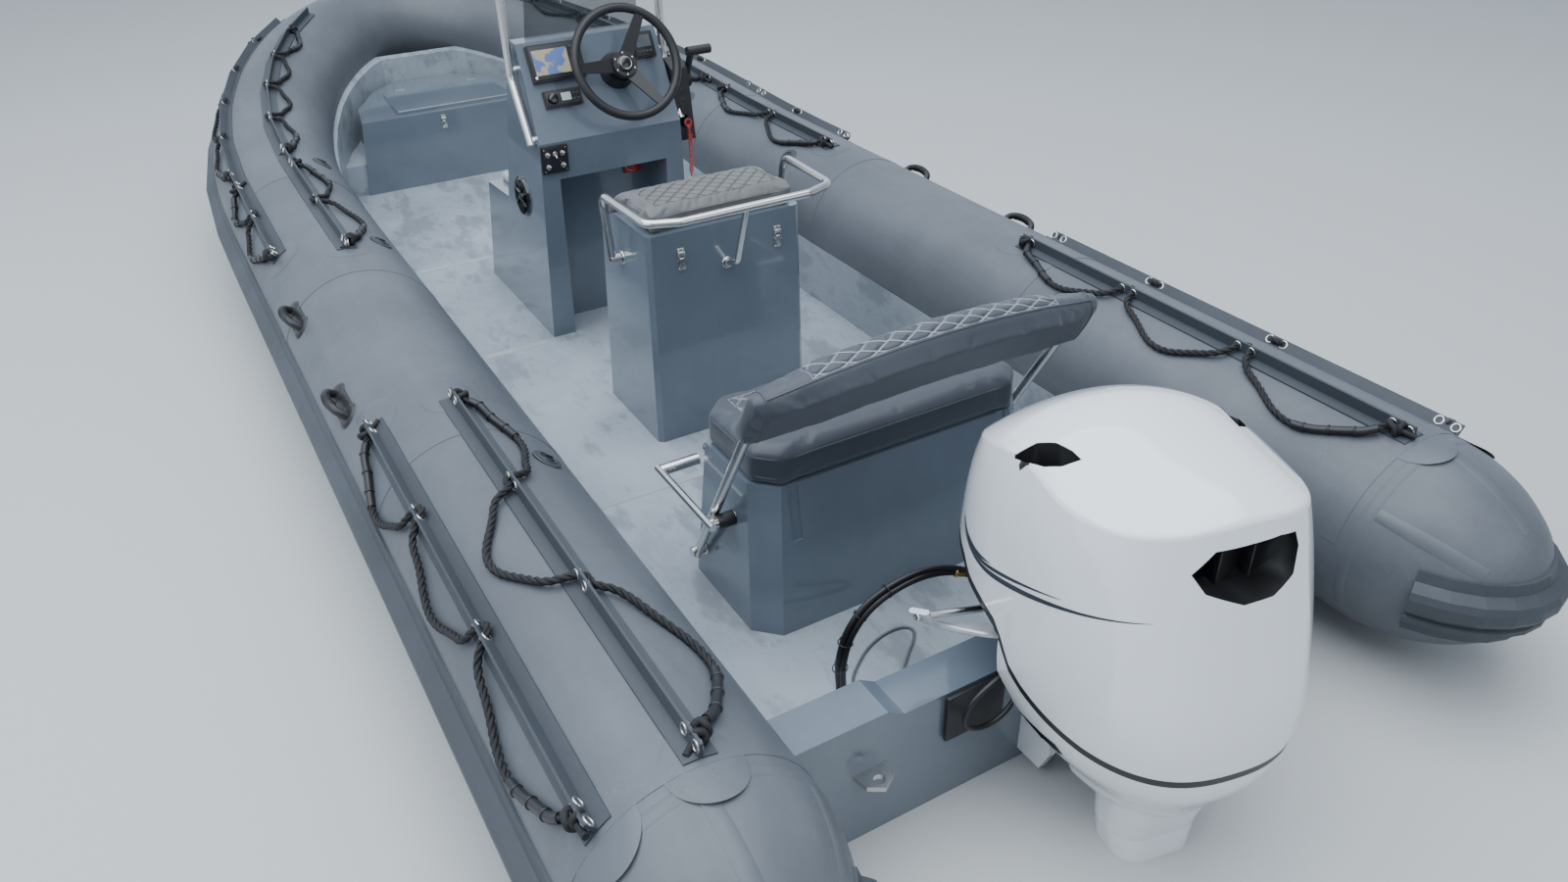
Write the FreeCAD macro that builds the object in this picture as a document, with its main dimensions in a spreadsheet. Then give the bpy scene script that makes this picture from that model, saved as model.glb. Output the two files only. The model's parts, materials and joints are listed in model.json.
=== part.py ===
import FreeCAD, Part, Sketcher
import math
import os

V = FreeCAD.Vector
UP = V(0, 0, 1)

# Rigid inflatable boat, millimetres. +X to the bow, +Y to port, +Z up.
# The origin is on the waterline, on the centreline, near the middle of the length.

SIZES = [
    ("tube_radius", 250, "air tube radius, straight part"),
    ("tube_spacing", 950, "centreline to tube centre"),
    ("tube_height", 290, "tube centre above the waterline"),
    ("tube_aft", -2600, "aft end of the straight tube"),
    ("tube_rise_start", 300, "where the sheer starts to rise"),
    ("tube_curve_start", 900, "where the plan curve starts"),
    ("nose_reach", 2765, "tube centre at the nose"),
    ("nose_rise", 300, "rise of the tube centre at the nose"),
    ("nose_slimming", 35, "loss of tube radius at the nose"),
    ("cone_length", 350, "length of a stern cone"),
    ("deck_level", 45, "deck above the waterline"),
    ("floor_thickness", 20, "deck laminate and core"),
    ("bow_floor", 190, "floor inside the bow locker, above the waterline"),
    ("keel_depth", 305, "keel below the waterline at the transom"),
    ("transom_face", -2500, "aft face of the transom"),
    ("transom_top", 330, "top of the transom"),
    ("transom_thickness", 50, "transom board"),
    ("cap_width", 105, "width of the transom's top ledge"),
    ("ledge_step", 25, "fall of the ledge to its middle"),
    ("shell_wall", 10, "moulded shell wall"),
    ("bench_aft", -1930, "aft face of the bench box"),
    ("backrest_lean", 30, "angle of the backrest arms, aft of upright"),
    ("arm_spacing", 910, "between the backrest arms' centres"),
    ("arm_radius", 12.5, "backrest arm tube"),
    ("pivot_radius", 6, "backrest pivot pin"),
    ("stop_radius", 10, "backrest stop bar"),
    ("bench_depth", 410, "bench box, fore and aft"),
    ("bench_width", 890, "bench box, athwart"),
    ("bench_height", 390, "bench box above the deck"),
    ("bench_pad", 95, "bench cushion thickness"),
    ("seat_aft", -965, "aft face of the jockey seat box"),
    ("seat_depth", 385, "jockey seat box, fore and aft"),
    ("seat_width", 530, "jockey seat box, athwart"),
    ("seat_height", 635, "jockey seat box above the deck"),
    ("seat_pad", 75, "jockey cushion thickness"),
    ("console_width", 570, "console, athwart, at the deck"),
    ("console_top", 1070, "console top above the waterline"),
    ("console_draft", 35, "narrowing of each console side to the top"),
    ("wheel_radius", 178, "steering wheel"),
    ("locker_aft", 1765, "aft face of the bow locker"),
    ("locker_top", 380, "top of the bow locker"),
    ("locker_half", 500, "half width of the bow locker at the deck"),
    ("lid_thickness", 18, "bow locker's lid"),
    ("seat_lid_depth", 45, "skirt of the jockey seat's lid"),
    ("hinge_radius", 6, "hinge knuckles"),
    ("panel_depth", 14, "radio and switch panel off the dash"),
    ("display_width", 185, "display, athwart"),
    ("display_height", 120, "display, up the dash"),
    ("rim_radius", 15, "steering wheel's rim"),
    ("ram_radius", 24, "steering cylinder"),
    ("rod_radius", 9, "steering rod"),
    ("tilt_ram_radius", 30, "tilt cylinder"),
    ("tilt_rod_radius", 12, "tilt ram's rod"),
    ("tilt_axis_aft", -2515, "tilt axis, fore and aft"),
    ("tilt_axis_up", 405, "tilt axis above the waterline"),
    ("tilt_pin", 19, "tilt tube radius"),
    ("steer_axis_aft", -2665, "steering axis, fore and aft"),
    ("steer_pin", 25, "swivel shaft radius"),
    ("steer_turn", -12, "steering angle that the boat lies at"),
    ("plate_depth", 305, "anti-ventilation plate below the waterline"),
    ("prop_depth", 470, "propeller shaft below the waterline"),
    ("prop_radius", 180, "propeller"),
    ("seal_band", 18, "cowl seal, tall"),
    ("crease_radius", 16, "rounding between the cowl's top and sides"),
    ("rail_radius", 14, "stainless rail tube"),
    ("eye_radius", 12.5, "bore of the mooring and towing eyes"),
    ("eye_plate", 12, "thickness of the eyes' plates"),
]

doc = FreeCAD.newDocument("RigidInflatable")
sheet = doc.addObject("Spreadsheet::Sheet", "Sizes")
for row, (alias, value, note) in enumerate(SIZES, 1):
    sheet.set("A%d" % row, note)
    sheet.set("B%d" % row, str(value))
    sheet.setAlias("B%d" % row, alias)
doc.recompute()

NODES = []


def size(alias):
    return float(sheet.get(alias))


def bind(obj, **expressions):
    for prop, text in expressions.items():
        obj.setExpression(prop, text)


def keep(obj, node):
    obj.Label = node
    NODES.append(obj)
    return obj


def feature(node, shape, placement=FreeCAD.Placement()):
    obj = doc.addObject("Part::Feature", node + "_solid")
    obj.Shape = shape
    obj.Placement = placement
    return keep(obj, node)


def given(obj, **sizes):
    """Set a primitive's sizes: text is an expression on the sheet, a number is fixed."""
    for prop, value in sizes.items():
        if isinstance(value, str):
            obj.setExpression(prop, value)
        else:
            setattr(obj, prop, value)
    return obj


def turned(direction):
    """The rotation that carries +Z to a direction."""
    return FreeCAD.Rotation(UP, direction)


def cylinder(name, start, direction, radius, height):
    obj = given(doc.addObject("Part::Cylinder", name), Radius=radius, Height=height)
    obj.Placement = FreeCAD.Placement(start, turned(direction))
    return obj


def cut_of(name, base, tools):
    """A boolean cut of one object by others."""
    tool = tools[0]
    if len(tools) > 1:
        tool = doc.addObject("Part::MultiFuse", name + "_tools")
        tool.Shapes = tools
    obj = doc.addObject("Part::Cut", name)
    obj.Base, obj.Tool = base, tool
    return obj


def fuse_of(name, parts):
    obj = doc.addObject("Part::MultiFuse", name)
    obj.Shapes = parts
    obj.Refine = True
    return obj


def loose(name, shape):
    """A shape for a boolean that no primitive fits."""
    obj = doc.addObject("Part::Feature", name)
    obj.Shape = shape
    return obj


def pad_body(name, rows, height, at, soften=None):
    """A PartDesign body: an outline padded upward, with its top edges rounded on request."""
    body = doc.addObject("PartDesign::Body", name + "_body")
    sketch = body.newObject("Sketcher::SketchObject", name + "_outline")
    count = len(rows)
    for i, (x, y) in enumerate(rows):
        following = rows[(i + 1) % count]
        sketch.addGeometry(Part.LineSegment(V(x, y, 0), V(following[0], following[1], 0)), False)
    for i in range(count):
        sketch.addConstraint(Sketcher.Constraint("Coincident", i, 2, (i + 1) % count, 1))
    pad = body.newObject("PartDesign::Pad", name + "_pad")
    pad.Profile = sketch
    pad.setExpression("Length", height)
    doc.recompute()
    if soften:
        top_z = pad.Shape.BoundBox.ZMax
        edges = ["Edge%d" % (i + 1) for i, e in enumerate(pad.Shape.Edges) if abs(e.BoundBox.ZMin - top_z) < 0.01]
        fillet = body.newObject("PartDesign::Fillet", name + "_fillet")
        fillet.Base = (pad, edges)
        fillet.setExpression("Radius", soften)
    body.Placement = FreeCAD.Placement(at, FreeCAD.Rotation())
    return body


def poly(points):
    return Part.makePolygon(points + [points[0]])


def prism(points, direction):
    return Part.Face(poly(points)).extrude(direction)


def profile_xz(rows, y_low, y_high):
    return prism([V(x, y_low, z) for x, z in rows], V(0, y_high - y_low, 0))


def profile_yz(rows, x_low, x_high):
    return prism([V(x_low, y, z) for y, z in rows], V(x_high - x_low, 0, 0))


def profile_xy(rows, z_low, z_high):
    return prism([V(x, y, z_low) for x, y in rows], V(0, 0, z_high - z_low))


def block(x0, x1, y0, y1, z0, z1):
    return Part.makeBox(x1 - x0, y1 - y0, z1 - z0, V(x0, y0, z0))


def rod(start, end, radius):
    run = end.sub(start)
    return Part.makeCylinder(radius, run.Length, start, run)


def fused(*shapes):
    whole = shapes[0]
    if len(shapes) > 1:
        whole = whole.multiFuse(list(shapes[1:]))
    return whole.removeSplitter()


def mirrored(shape):
    return shape.mirror(V(0, 0, 0), V(0, 1, 0))


def one_solid(shape):
    return max(shape.Solids, key=lambda s: s.Volume)


def rounded(shape, radius, test):
    """Round the edges that a test picks, or return the shape as it was."""
    edges = [e for e in shape.Edges if test(e)]
    try:
        result = shape.makeFillet(radius, edges)
        if result.isValid() and result.Volume > 0:
            return result
    except Exception:
        pass
    return shape


def upright(edge):
    """An edge nearer to vertical than to level."""
    if len(edge.Vertexes) < 2:
        return False
    run = edge.Vertexes[1].Point.sub(edge.Vertexes[0].Point)
    return run.Length > 1 and abs(run.z) > 0.8 * run.Length


def bent_tube(points, bend, radius):
    """A round tube along straight runs joined by tangent arcs."""
    edges = []
    start = points[0]
    for before, here, after in zip(points, points[1:], points[2:]):
        into = here.sub(before).normalize()
        out = after.sub(here).normalize()
        turn = into.getAngle(out)
        cut = bend * math.tan(turn / 2)
        arc_in = here.sub(V(into).multiply(cut))
        arc_out = here.add(V(out).multiply(cut))
        middle = V(out).sub(into).normalize().multiply(bend / math.cos(turn / 2) - bend)
        edges.append(Part.LineSegment(start, arc_in).toShape())
        edges.append(Part.Arc(arc_in, here.add(middle), arc_out).toShape())
        start = arc_out
    edges.append(Part.LineSegment(start, points[-1]).toShape())
    path = Part.Wire(edges)
    ring = Part.Wire(Part.makeCircle(radius, points[0], points[1].sub(points[0])))
    return path.makePipeShell([ring], True, True, 1)


# ---- collar path: position, radius and directions at each station, port side

R = size("tube_radius")
W = size("tube_spacing")
ZT = size("tube_height")
X_AFT = size("tube_aft")
X_RISE = size("tube_rise_start")
X_CURVE = size("tube_curve_start")
X_NOSE = size("nose_reach")
DECK = size("deck_level")


def path_xy(turn):
    """Centre of the bow curve in plan, turn in degrees from the straight to the nose."""
    a = math.radians(turn)
    return (X_CURVE + (X_NOSE - X_CURVE) * math.sin(a), W * math.cos(a))


def path_z(x):
    share = max(0.0, (x - X_RISE) / (X_NOSE - X_RISE))
    return ZT + size("nose_rise") * share ** 2


def path_radius(x):
    share = max(0.0, (x - X_RISE) / (X_NOSE - X_RISE))
    return R - size("nose_slimming") * share ** 2


class Station:
    """One cross section of the port collar: centre, radius, outboard and up directions."""

    def __init__(self, x, y, along):
        self.radius = path_radius(x)
        self.centre = V(x, y, path_z(x))
        self.along = V(along).normalize()
        self.out = self.along.cross(UP).normalize().multiply(-1)
        self.up = self.out.cross(self.along).normalize()
        if self.up.z < 0:
            self.up = self.up.multiply(-1)

    def point(self, angle, radial=0.0, sideways=0.0):
        """A point at an angle from the outboard side, so far off the tube."""
        a = math.radians(angle)
        reach = self.radius + radial
        return (self.centre
                + self.out * (reach * math.cos(a) - sideways * math.sin(a))
                + self.up * (reach * math.sin(a) + sideways * math.cos(a)))

    def ring(self):
        top, out = self.point(90), self.point(0)
        low, inner = self.point(-90), self.point(180)
        return Part.Wire([Part.Arc(top, out, low).toShape(), Part.Arc(low, inner, top).toShape()])


def straight_station(x):
    slope = 0.0
    if x > X_RISE:
        slope = (path_z(x + 1) - path_z(x - 1)) / 2
    return Station(x, W, V(1, 0, slope))


def curve_station(turn):
    x, y = path_xy(turn)
    xa, ya = path_xy(turn - 0.5)
    xb, yb = path_xy(min(turn + 0.5, 90.0))
    along = V(xb - xa, yb - ya, path_z(xb) - path_z(xa))
    if turn >= 90:
        along = V(0, -1, 0)
    return Station(x, y, along)


BOW = [straight_station(X_RISE), straight_station((X_RISE + X_CURVE) / 2), straight_station(X_CURVE)]
BOW += [curve_station(t) for t in (12, 24, 36, 48, 60, 70, 80, 90)]

tube_bow = Part.makeLoft([s.ring() for s in BOW], True, False)
tube_straight = Part.makeCylinder(R, X_RISE - X_AFT, V(X_AFT, W, ZT), V(1, 0, 0))
tube_port = one_solid(fused(tube_straight, tube_bow))
tube_starboard = mirrored(tube_port)
feature("tube_port", tube_port)
feature("tube_starboard", tube_starboard)

# ---- stern cones

CONE = size("cone_length")
cone_edge = []
for step in range(0, 7):
    a = math.radians(90 * step / 6)
    cone_edge.append(V(X_AFT - CONE * math.sin(a), W + R * math.cos(a), ZT))
cone_curve = Part.BSplineCurve()
cone_curve.interpolate(cone_edge, InitialTangent=V(-1, 0, 0), FinalTangent=V(0, -1, 0))
cone_face = Part.Face(Part.Wire([
    cone_curve.toShape(),
    Part.LineSegment(cone_edge[-1], V(X_AFT, W, ZT)).toShape(),
    Part.LineSegment(V(X_AFT, W, ZT), cone_edge[0]).toShape()]))
cone_port = cone_face.revolve(V(X_AFT, W, ZT), V(1, 0, 0), 360)
cone_starboard = mirrored(cone_port)
feature("stern_cone_port", cone_port)
feature("stern_cone_starboard", cone_starboard)

# ---- rubbing strake: a ribbed rubber section carried round the outside and the cone

STRAKE = [(-34, 72), (-5, 72), (3, 47), (12, 42), (28, 32), (36, 16), (36, -6), (28, -22), (12, -30),
          (10, -40), (17, -46), (17, -58), (8, -64), (-6, -76), (-15, -100), (-40, -100)]


def strake_section(centre, out, up):
    return poly([centre + out * n + up * z for n, z in STRAKE])


def cone_station(turn):
    a = math.radians(turn)
    where = V(X_AFT - CONE * math.sin(a), W + R * math.cos(a), ZT)
    out = V(-R * math.sin(a), CONE * math.cos(a), 0).normalize()
    return where, out


strake_wires = []
for turn in (148, 135, 122, 110, 98, 86, 74, 60, 46, 32, 16):
    where, out = cone_station(turn)
    strake_wires.append(strake_section(where, out, UP))
strake_wires.append(strake_section(V(X_AFT, W + R, ZT), V(0, 1, 0), UP))
for station in BOW:
    strake_wires.append(strake_section(station.point(0), station.out, station.up))
strake_port = Part.makeLoft(strake_wires, True, True)
strake_port = one_solid(strake_port.cut(tube_port).cut(cone_port))
feature("rubbing_strake_port", strake_port)
feature("rubbing_strake_starboard", mirrored(strake_port))

# ---- rope flaps: glued fabric strips with a standing web

FLAP = [(-32, -6), (-32, 2), (-4, 5), (-3, 34), (3, 34), (4, 5), (32, 2), (32, -6)]


def flap_section(station, angle):
    return poly([station.point(angle, r, t) for t, r in FLAP])


def flap(stations, angle):
    strip = Part.makeLoft([flap_section(s, angle) for s in stations], True, True)
    return one_solid(strip.cut(tube_port))


FLAPS = [
    ("flap_aft_inner", [straight_station(-2590), straight_station(-1220)], 96),
    ("flap_aft_outer", [straight_station(-2590), straight_station(-1150)], 50),
    ("flap_fore_inner", [straight_station(-100)] + BOW[:8], 96),
    ("flap_fore_outer", [straight_station(100)] + BOW[:8], 50),
]
for name, stations, angle in FLAPS:
    strip = flap(stations, angle)
    feature(name + "_port", strip)
    feature(name + "_starboard", mirrored(strip))

# ---- hull: deep vee with a chine, cut to seat the collar

KEEL = size("keel_depth")
HULL = [
    (size("transom_face"), -KEEL, 740, -75),
    (0, -KEEL, 740, -65),
    (900, -KEEL + 5, 722, -40),
    (1500, -KEEL + 45, 690, -25),
    (2000, -KEEL + 130, 600, 22),
    (2350, -KEEL + 240, 440, 130),
    (2600, -KEEL + 370, 240, 235),
    (2735, -KEEL + 500, 70, 320),
]


def hull_section(x, keel, chine_y, chine_z):
    """Keel, chine, chine flat and the side that rises to the middle of the collar."""
    span = W
    if x > X_CURVE:
        span = W * math.sqrt(1 - ((x - X_CURVE) / (X_NOSE - X_CURVE)) ** 2)
    side_y = span - 30
    side_z = path_z(x) - 0.75 * path_radius(x)
    half = [(0, keel), (chine_y, chine_z), (chine_y + 40, chine_z + 4), (side_y, side_z)]
    rows = half + [(-y, z) for y, z in reversed(half[1:])]
    return poly([V(x, y, z) for y, z in rows])


hull = Part.makeLoft([hull_section(*row) for row in HULL], True, True)


def inner_plan(offset, z_low, z_high, aft=-2600):
    """The region inside the collar's centre path, moved inboard by an offset."""
    rows = []
    for s in [straight_station(X_RISE), straight_station(X_CURVE)] + [curve_station(t) for t in range(8, 90, 8)]:
        p = s.centre - s.out * offset
        if p.y > 5:
            rows.append((p.x, p.y))
    end = curve_station(90).centre - V(1, 0, 0) * offset
    port = [(aft, W - offset)] + rows
    ring = port + [(end.x, 0)] + [(x, -y) for x, y in reversed(port)]
    return profile_xy(ring, z_low, z_high)


def under_sheer(z_low, lift=0.0):
    """A wide block whose top follows the height of the collar's centre."""
    rows = [(-2600, z_low), (-2600, ZT + lift)]
    for x in (X_RISE, 800, 1300, 1800, 2300, 2700, 3000):
        rows.append((x, path_z(min(x, X_NOSE)) + lift))
    rows.append((3000, z_low))
    return profile_xz(rows, -1300, 1300)


STEP_X = size("locker_aft") + 15
STEP_Z = size("bow_floor")
FLOOR = size("floor_thickness")


def stepped(form, thick):
    """Raise a form's floor under the bow locker, where the hull narrows, and end it ahead of the locker."""
    low = block(STEP_X + thick, 3200, -900, 900, -200, STEP_Z - thick)
    ahead = block(STEP_X + 660 + 2 * thick, 3200, -900, 900, -200, 1200)
    return form.cut(low).cut(ahead)


well = stepped(inner_plan(208, DECK - FLOOR, 900, -2600), FLOOR)
hull = hull.cut(well)
hull = hull.common(under_sheer(-700, -20))
for shape in (tube_port, tube_starboard, cone_port, cone_starboard):
    hull = hull.cut(shape)
hull = one_solid(hull)
feature("hull", hull)

# ---- deck liner: floor with a coaming that rises to the collar

liner = well.common(under_sheer(-100, -25))
liner = liner.cut(stepped(inner_plan(250, DECK, 900, -2450), 0))
for shape in (tube_port, tube_starboard):
    liner = liner.cut(shape)
liner = one_solid(liner)
transom_x = size("transom_face")
liner = one_solid(liner.cut(block(-2700, transom_x + size("transom_thickness"), -900, 900, -100, 900)))
feature("deck_liner", liner)

# ---- transom board with its top ledge

board = block(transom_x, transom_x + size("transom_thickness"), -760, 760,
              DECK - size("floor_thickness"), size("transom_top") - 30)
ledge_top = size("transom_top")
ledge_mid = ledge_top - size("ledge_step")
ledge = profile_yz([(-750, ledge_mid - 25), (-750, ledge_top), (-480, ledge_top), (-440, ledge_mid), (440, ledge_mid),
                    (480, ledge_top), (750, ledge_top), (750, ledge_mid - 25)], transom_x, transom_x + size("cap_width"))
transom = fused(board, ledge)
for shape in (tube_port, tube_starboard):
    transom = transom.cut(shape)
transom = one_solid(transom)
feature("transom", transom)
hull_obj = [o for o in NODES if o.Label == "hull"][0]
hull_obj.Shape = one_solid(hull.cut(transom))


# ---- eyes to moor and to tow: bored lugs on the transom and under the bow

def lug(name, rows, at, facing, bore_x, bore_y):
    """A padded plate with a bore that follows the sheet, turned to face a direction."""
    plate = pad_body(name, rows, "Sizes.eye_plate", V(0, 0, 0))
    bore = cylinder(name + "_bore", V(bore_x, bore_y, -10), UP, "Sizes.eye_radius", "Sizes.eye_plate + 20")
    eye_part = cut_of(name + "_cut", plate, [bore])
    eye_part.Placement = FreeCAD.Placement(at, facing)
    return eye_part


for name, side in (("port", 1), ("starboard", -1)):
    rows = [(0, -40), (0, 40), (-38, 32), (-58, 0), (-38, -32)]
    at = V(transom_x, side * 520, 190 - size("eye_plate") / 2)
    keep(lug("transom_eye_" + name, rows, at, FreeCAD.Rotation(), -34, 0), "transom_eye_" + name)
upright_face = FreeCAD.Rotation(V(1, 0, 0), V(0, 0, 1), V(0, -1, 0), "XYZ")
bow_rows = [(2610, 84), (2716, 184), (2744, 140), (2716, 84), (2664, 60)]
bow_plate = lug("bow_eye", bow_rows, V(0, size("eye_plate") / 2, 0), upright_face, 2697, 105)
keep(cut_of("bow_eye_seated", bow_plate, [hull_obj]), "bow_eye")


# ---- moulded boxes

def ring_xy(x0, x1, half, z, corner):
    c = corner
    rows = [(x0, -half + c), (x0, half - c), (x0 + c, half), (x1 - c, half),
            (x1, half - c), (x1, -half + c), (x1 - c, -half), (x0 + c, -half)]
    return poly([V(x, y, z) for x, y in rows])


def drafted(x0, x1, half, z0, lean_aft, lean_fore, lean_side, z1, corner):
    return Part.makeLoft([ring_xy(x0, x1, half, z0, corner),
                          ring_xy(x0 + lean_aft, x1 - lean_fore, half - lean_side, z1, corner)], True, True)


WALL = size("shell_wall")

# Bench
bx0 = size("bench_aft")
bx1 = bx0 + size("bench_depth")
bh = size("bench_width") / 2
bz1 = DECK + size("bench_height")
bench = drafted(bx0, bx1, bh, DECK, 70, 5, 40, bz1, 60)
hollow = drafted(bx0 + WALL, bx1 - WALL, bh - WALL, DECK - 1, 70, 5, 40, bz1 - WALL, 55)
bench = bench.cut(hollow)
for side in (-1, 1):
    groove = prism([V(bx0 + 30, side * 315 - 14, bz1 - 150), V(bx0 + 48, side * 315 - 14, bz1 - 150),
                    V(bx0 + 75, side * 315 - 14, bz1 + 5), V(bx0 + 50, side * 315 - 14, bz1 + 5)], V(0, 28, 0))
    bench = bench.cut(groove)
feature("bench_box", one_solid(bench))

pad_half = bh - 35
pad_rows = [(bx0 + 56, pad_half - 60), (bx0 + 116, pad_half), (bx1 - 65, pad_half), (bx1 - 5, pad_half - 60)]
pad_rows += [(x, -y) for x, y in reversed(pad_rows)]
keep(pad_body("bench_cushion", pad_rows, "Sizes.bench_pad", V(0, 0, bz1), "Sizes.bench_pad * 0.25"), "bench_cushion")

# Jockey seat
sx0 = size("seat_aft")
sx1 = sx0 + size("seat_depth")
sh = size("seat_width") / 2
sz1 = DECK + size("seat_height")
lid_skirt = size("seat_lid_depth")


def seat_line(lift, reach):
    """The side view of the seat's lid line: flat aft, falling in a curve to the front."""
    return [(sx0 - 2, sz1 + lift), (sx1 - 170, sz1 + lift), (sx1 - 130, sz1 - 6 + lift), (sx1 - 90, sz1 - 24 + lift),
            (sx1 - 60, sz1 - 52 + lift), (sx1 + reach, sz1 - 82 + lift)]


def under_seat_line(lift, low):
    rows = seat_line(lift, 20)
    return profile_xz([(sx0 - 20, low), (sx0 - 20, sz1 + lift)] + rows[1:] + [(sx1 + 20, low)], -sh - 50, sh + 50)


seat_form = drafted(sx0, sx1, sh, DECK, 5, 40, 12, sz1 + lid_skirt, 14)
seat_void = drafted(sx0 + WALL, sx1 - WALL, sh - WALL, DECK - 1, 5, 40, 12, sz1 + lid_skirt, 12)
seat = seat_form.common(under_seat_line(0, DECK - 5)).cut(seat_void)
feature("seat_box", one_solid(seat))
lid = seat_form.common(under_seat_line(lid_skirt, DECK - 5)).cut(under_seat_line(0, DECK - 10))
lid = lid.cut(seat_void.common(under_seat_line(lid_skirt - WALL, DECK - 5)))
line_z = sz1 - 62
face_x = sx1 - 40 * (line_z - DECK) / (sz1 + lid_skirt - DECK)
lid_axis = V(face_x + size("hinge_radius") + 1, 0, line_z)
lid_shell = loose("seat_lid_shell", one_solid(lid))
for y in (-150, 100):
    leaf = block(face_x - 6, lid_axis.x, y, y + 50, line_z + 3, line_z + 26)
    lid_shell.Shape = lid_shell.Shape.fuse(leaf)
lid_knuckles = [cylinder("seat_knuckle_%d" % k, lid_axis + V(0, y, 0), V(0, 1, 0), "Sizes.hinge_radius", 50)
                for k, y in enumerate((-150, 100))]
keep(fuse_of("seat_lid_fused", [lid_shell] + lid_knuckles), "seat_lid")
cushion = profile_xz([(sx0 + 12, sz1 + lid_skirt), (sx0 + 10, sz1 + lid_skirt + 50), (sx0 + 40, sz1 + lid_skirt + 66),
                      (sx1 - 190, sz1 + lid_skirt + 62), (sx1 - 120, sz1 + lid_skirt + 40), (sx1 - 75, sz1 + lid_skirt + 5),
                      (sx1 - 52, sz1 + lid_skirt - 30), (sx1 - 50, sz1 + lid_skirt - 62)], -sh + 24, sh - 24)
cushion = one_solid(cushion.cut(under_seat_line(lid_skirt, DECK - 5)))
feature("seat_cushion", cushion)

# ---- console with its front seat, a hollow moulding with a knee recess

cw = size("console_width") / 2
ct = size("console_top")
draft = size("console_draft")
CONSOLE = [(-100, DECK), (-140, 770), (10, ct - 5), (60, ct), (140, 900), (262, 470), (500, 455), (580, DECK)]
CAVITY = [(-88, DECK - 1), (-126, 766), (16, ct - 20), (52, ct - 18), (127, 893), (252, 458), (490, 443), (567, DECK - 1)]


def console_side(rows, inset, sign):
    reach = [(x, sign * (cw - inset - draft * (z - DECK) / (ct - DECK)), z) for x, z in rows]
    return poly([V(x, y, z) for x, y, z in reach])


def console_form(rows, inset):
    return Part.makeLoft([console_side(rows, inset, 1), console_side(rows, inset, -1)], True, True)


recess = block(-200, 40, -200, 200, DECK - 2, 640)
recess_outer = block(-200, 40 + WALL, -200 - WALL, 200 + WALL, DECK - 3, 640 + WALL)
console = console_form(CONSOLE, 0).cut(recess)
cavity = console_form(CAVITY, WALL).cut(recess_outer)
console = console.cut(cavity)

# Door opening in the sloping front face
slope = math.atan2(262 - 140, 900 - 470)
door_low = V(262 - (520 - 470) * math.tan(slope), 0, 520)
face_up = V(-math.sin(slope), 0, math.cos(slope))
face_out = V(math.cos(slope), 0, math.sin(slope))


def door_slab(half, length, low, inner, outer):
    base = door_low + face_up * low
    pts = [base + V(0, -half, 0), base + V(0, half, 0),
           base + V(0, half, 0) + face_up * length, base + V(0, -half, 0) + face_up * length]
    pts = [p + face_out * inner for p in pts]
    return prism(pts, face_out * (outer - inner))


console = one_solid(console.cut(door_slab(165, 320, 20, -60, 20)))
feature("console_shell", console)
door = loose("console_door_slab", door_slab(190, 370, -5, 1, 15))
door_axis = door_low + V(0, -190, 0) + face_out * 8
door_knuckles = [cylinder("door_knuckle_%d" % k, door_axis + face_up * up, face_up, 5, 50) for k, up in enumerate((40, 270))]
keep(fuse_of("console_door_fused", [door] + door_knuckles), "console_door")

# Windscreen on the console's top, tinted, with its rails
screen_rows = [(48, ct - 1), (54, ct - 1), (-18, ct + 250), (-24, ct + 250)]
screen_cut = console_form(CONSOLE, 0)
screen = profile_xz(screen_rows, -200, 200).cut(screen_cut)
feature("windscreen", screen)
rr = size("rail_radius")
rail_points = [V(-112, 278, 765), V(10, 278, 960), V(20, 278, ct + 250), V(20, 150, ct + 330),
               V(20, -150, ct + 330), V(20, -278, ct + 250), V(10, -278, 960), V(-112, -278, 765)]
rail = bent_tube(rail_points, 60, rr)
feet = []
for s in (-1, 1):
    feet.append(rod(V(-104, s * 230, 778), V(-104, s * 279, 778), 13))
    feet.append(rod(V(11, s * 230, 985), V(11, s * 279, 985), 11))
rail = one_solid(fused(rail, *feet).cut(screen_cut))
feature("console_rail", rail)

# Dash pieces lie on the sloping dash
dash_low = V(-140, 0, 770)
dash_dir = V(150, 0, ct - 5 - 770).normalize()
dash_out = V(-dash_dir.z, 0, dash_dir.x)


DASH_TURN = FreeCAD.Rotation(dash_dir, V(0, 1, 0), dash_out, "XYZ")


def dash_box(node, y, up, tall, wide, deep):
    """A box that lies on the dash: height up the slope, width athwart, depth off the face."""
    box = given(doc.addObject("Part::Box", node + "_box"), Length=tall, Width=wide, Height=deep)
    box.Placement = FreeCAD.Placement(dash_low + dash_dir * up + V(0, y, 0), DASH_TURN)
    return keep(box, node)


dash_box("display", 40, 195, "Sizes.display_height", "Sizes.display_width", "Sizes.panel_depth + 8")
dash_box("radio", 75, 110, 55, 130, "Sizes.panel_depth")
dash_box("gauge", -228, 225, 85, 78, "Sizes.panel_depth + 2")
apron_out = V(-(770 - DECK), 0, -40).normalize()
panel = given(doc.addObject("Part::Box", "switch_panel_box"), Length=92, Width=92, Height="Sizes.panel_depth - 2")
panel.Placement = FreeCAD.Placement(V(-100 - 40 * (670 - DECK) / (770 - DECK), 168, 670),
                                    FreeCAD.Rotation(V(-apron_out.z, 0, apron_out.x) * -1, V(0, 1, 0), apron_out, "XYZ"))
keep(panel, "switch_panel")

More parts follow.
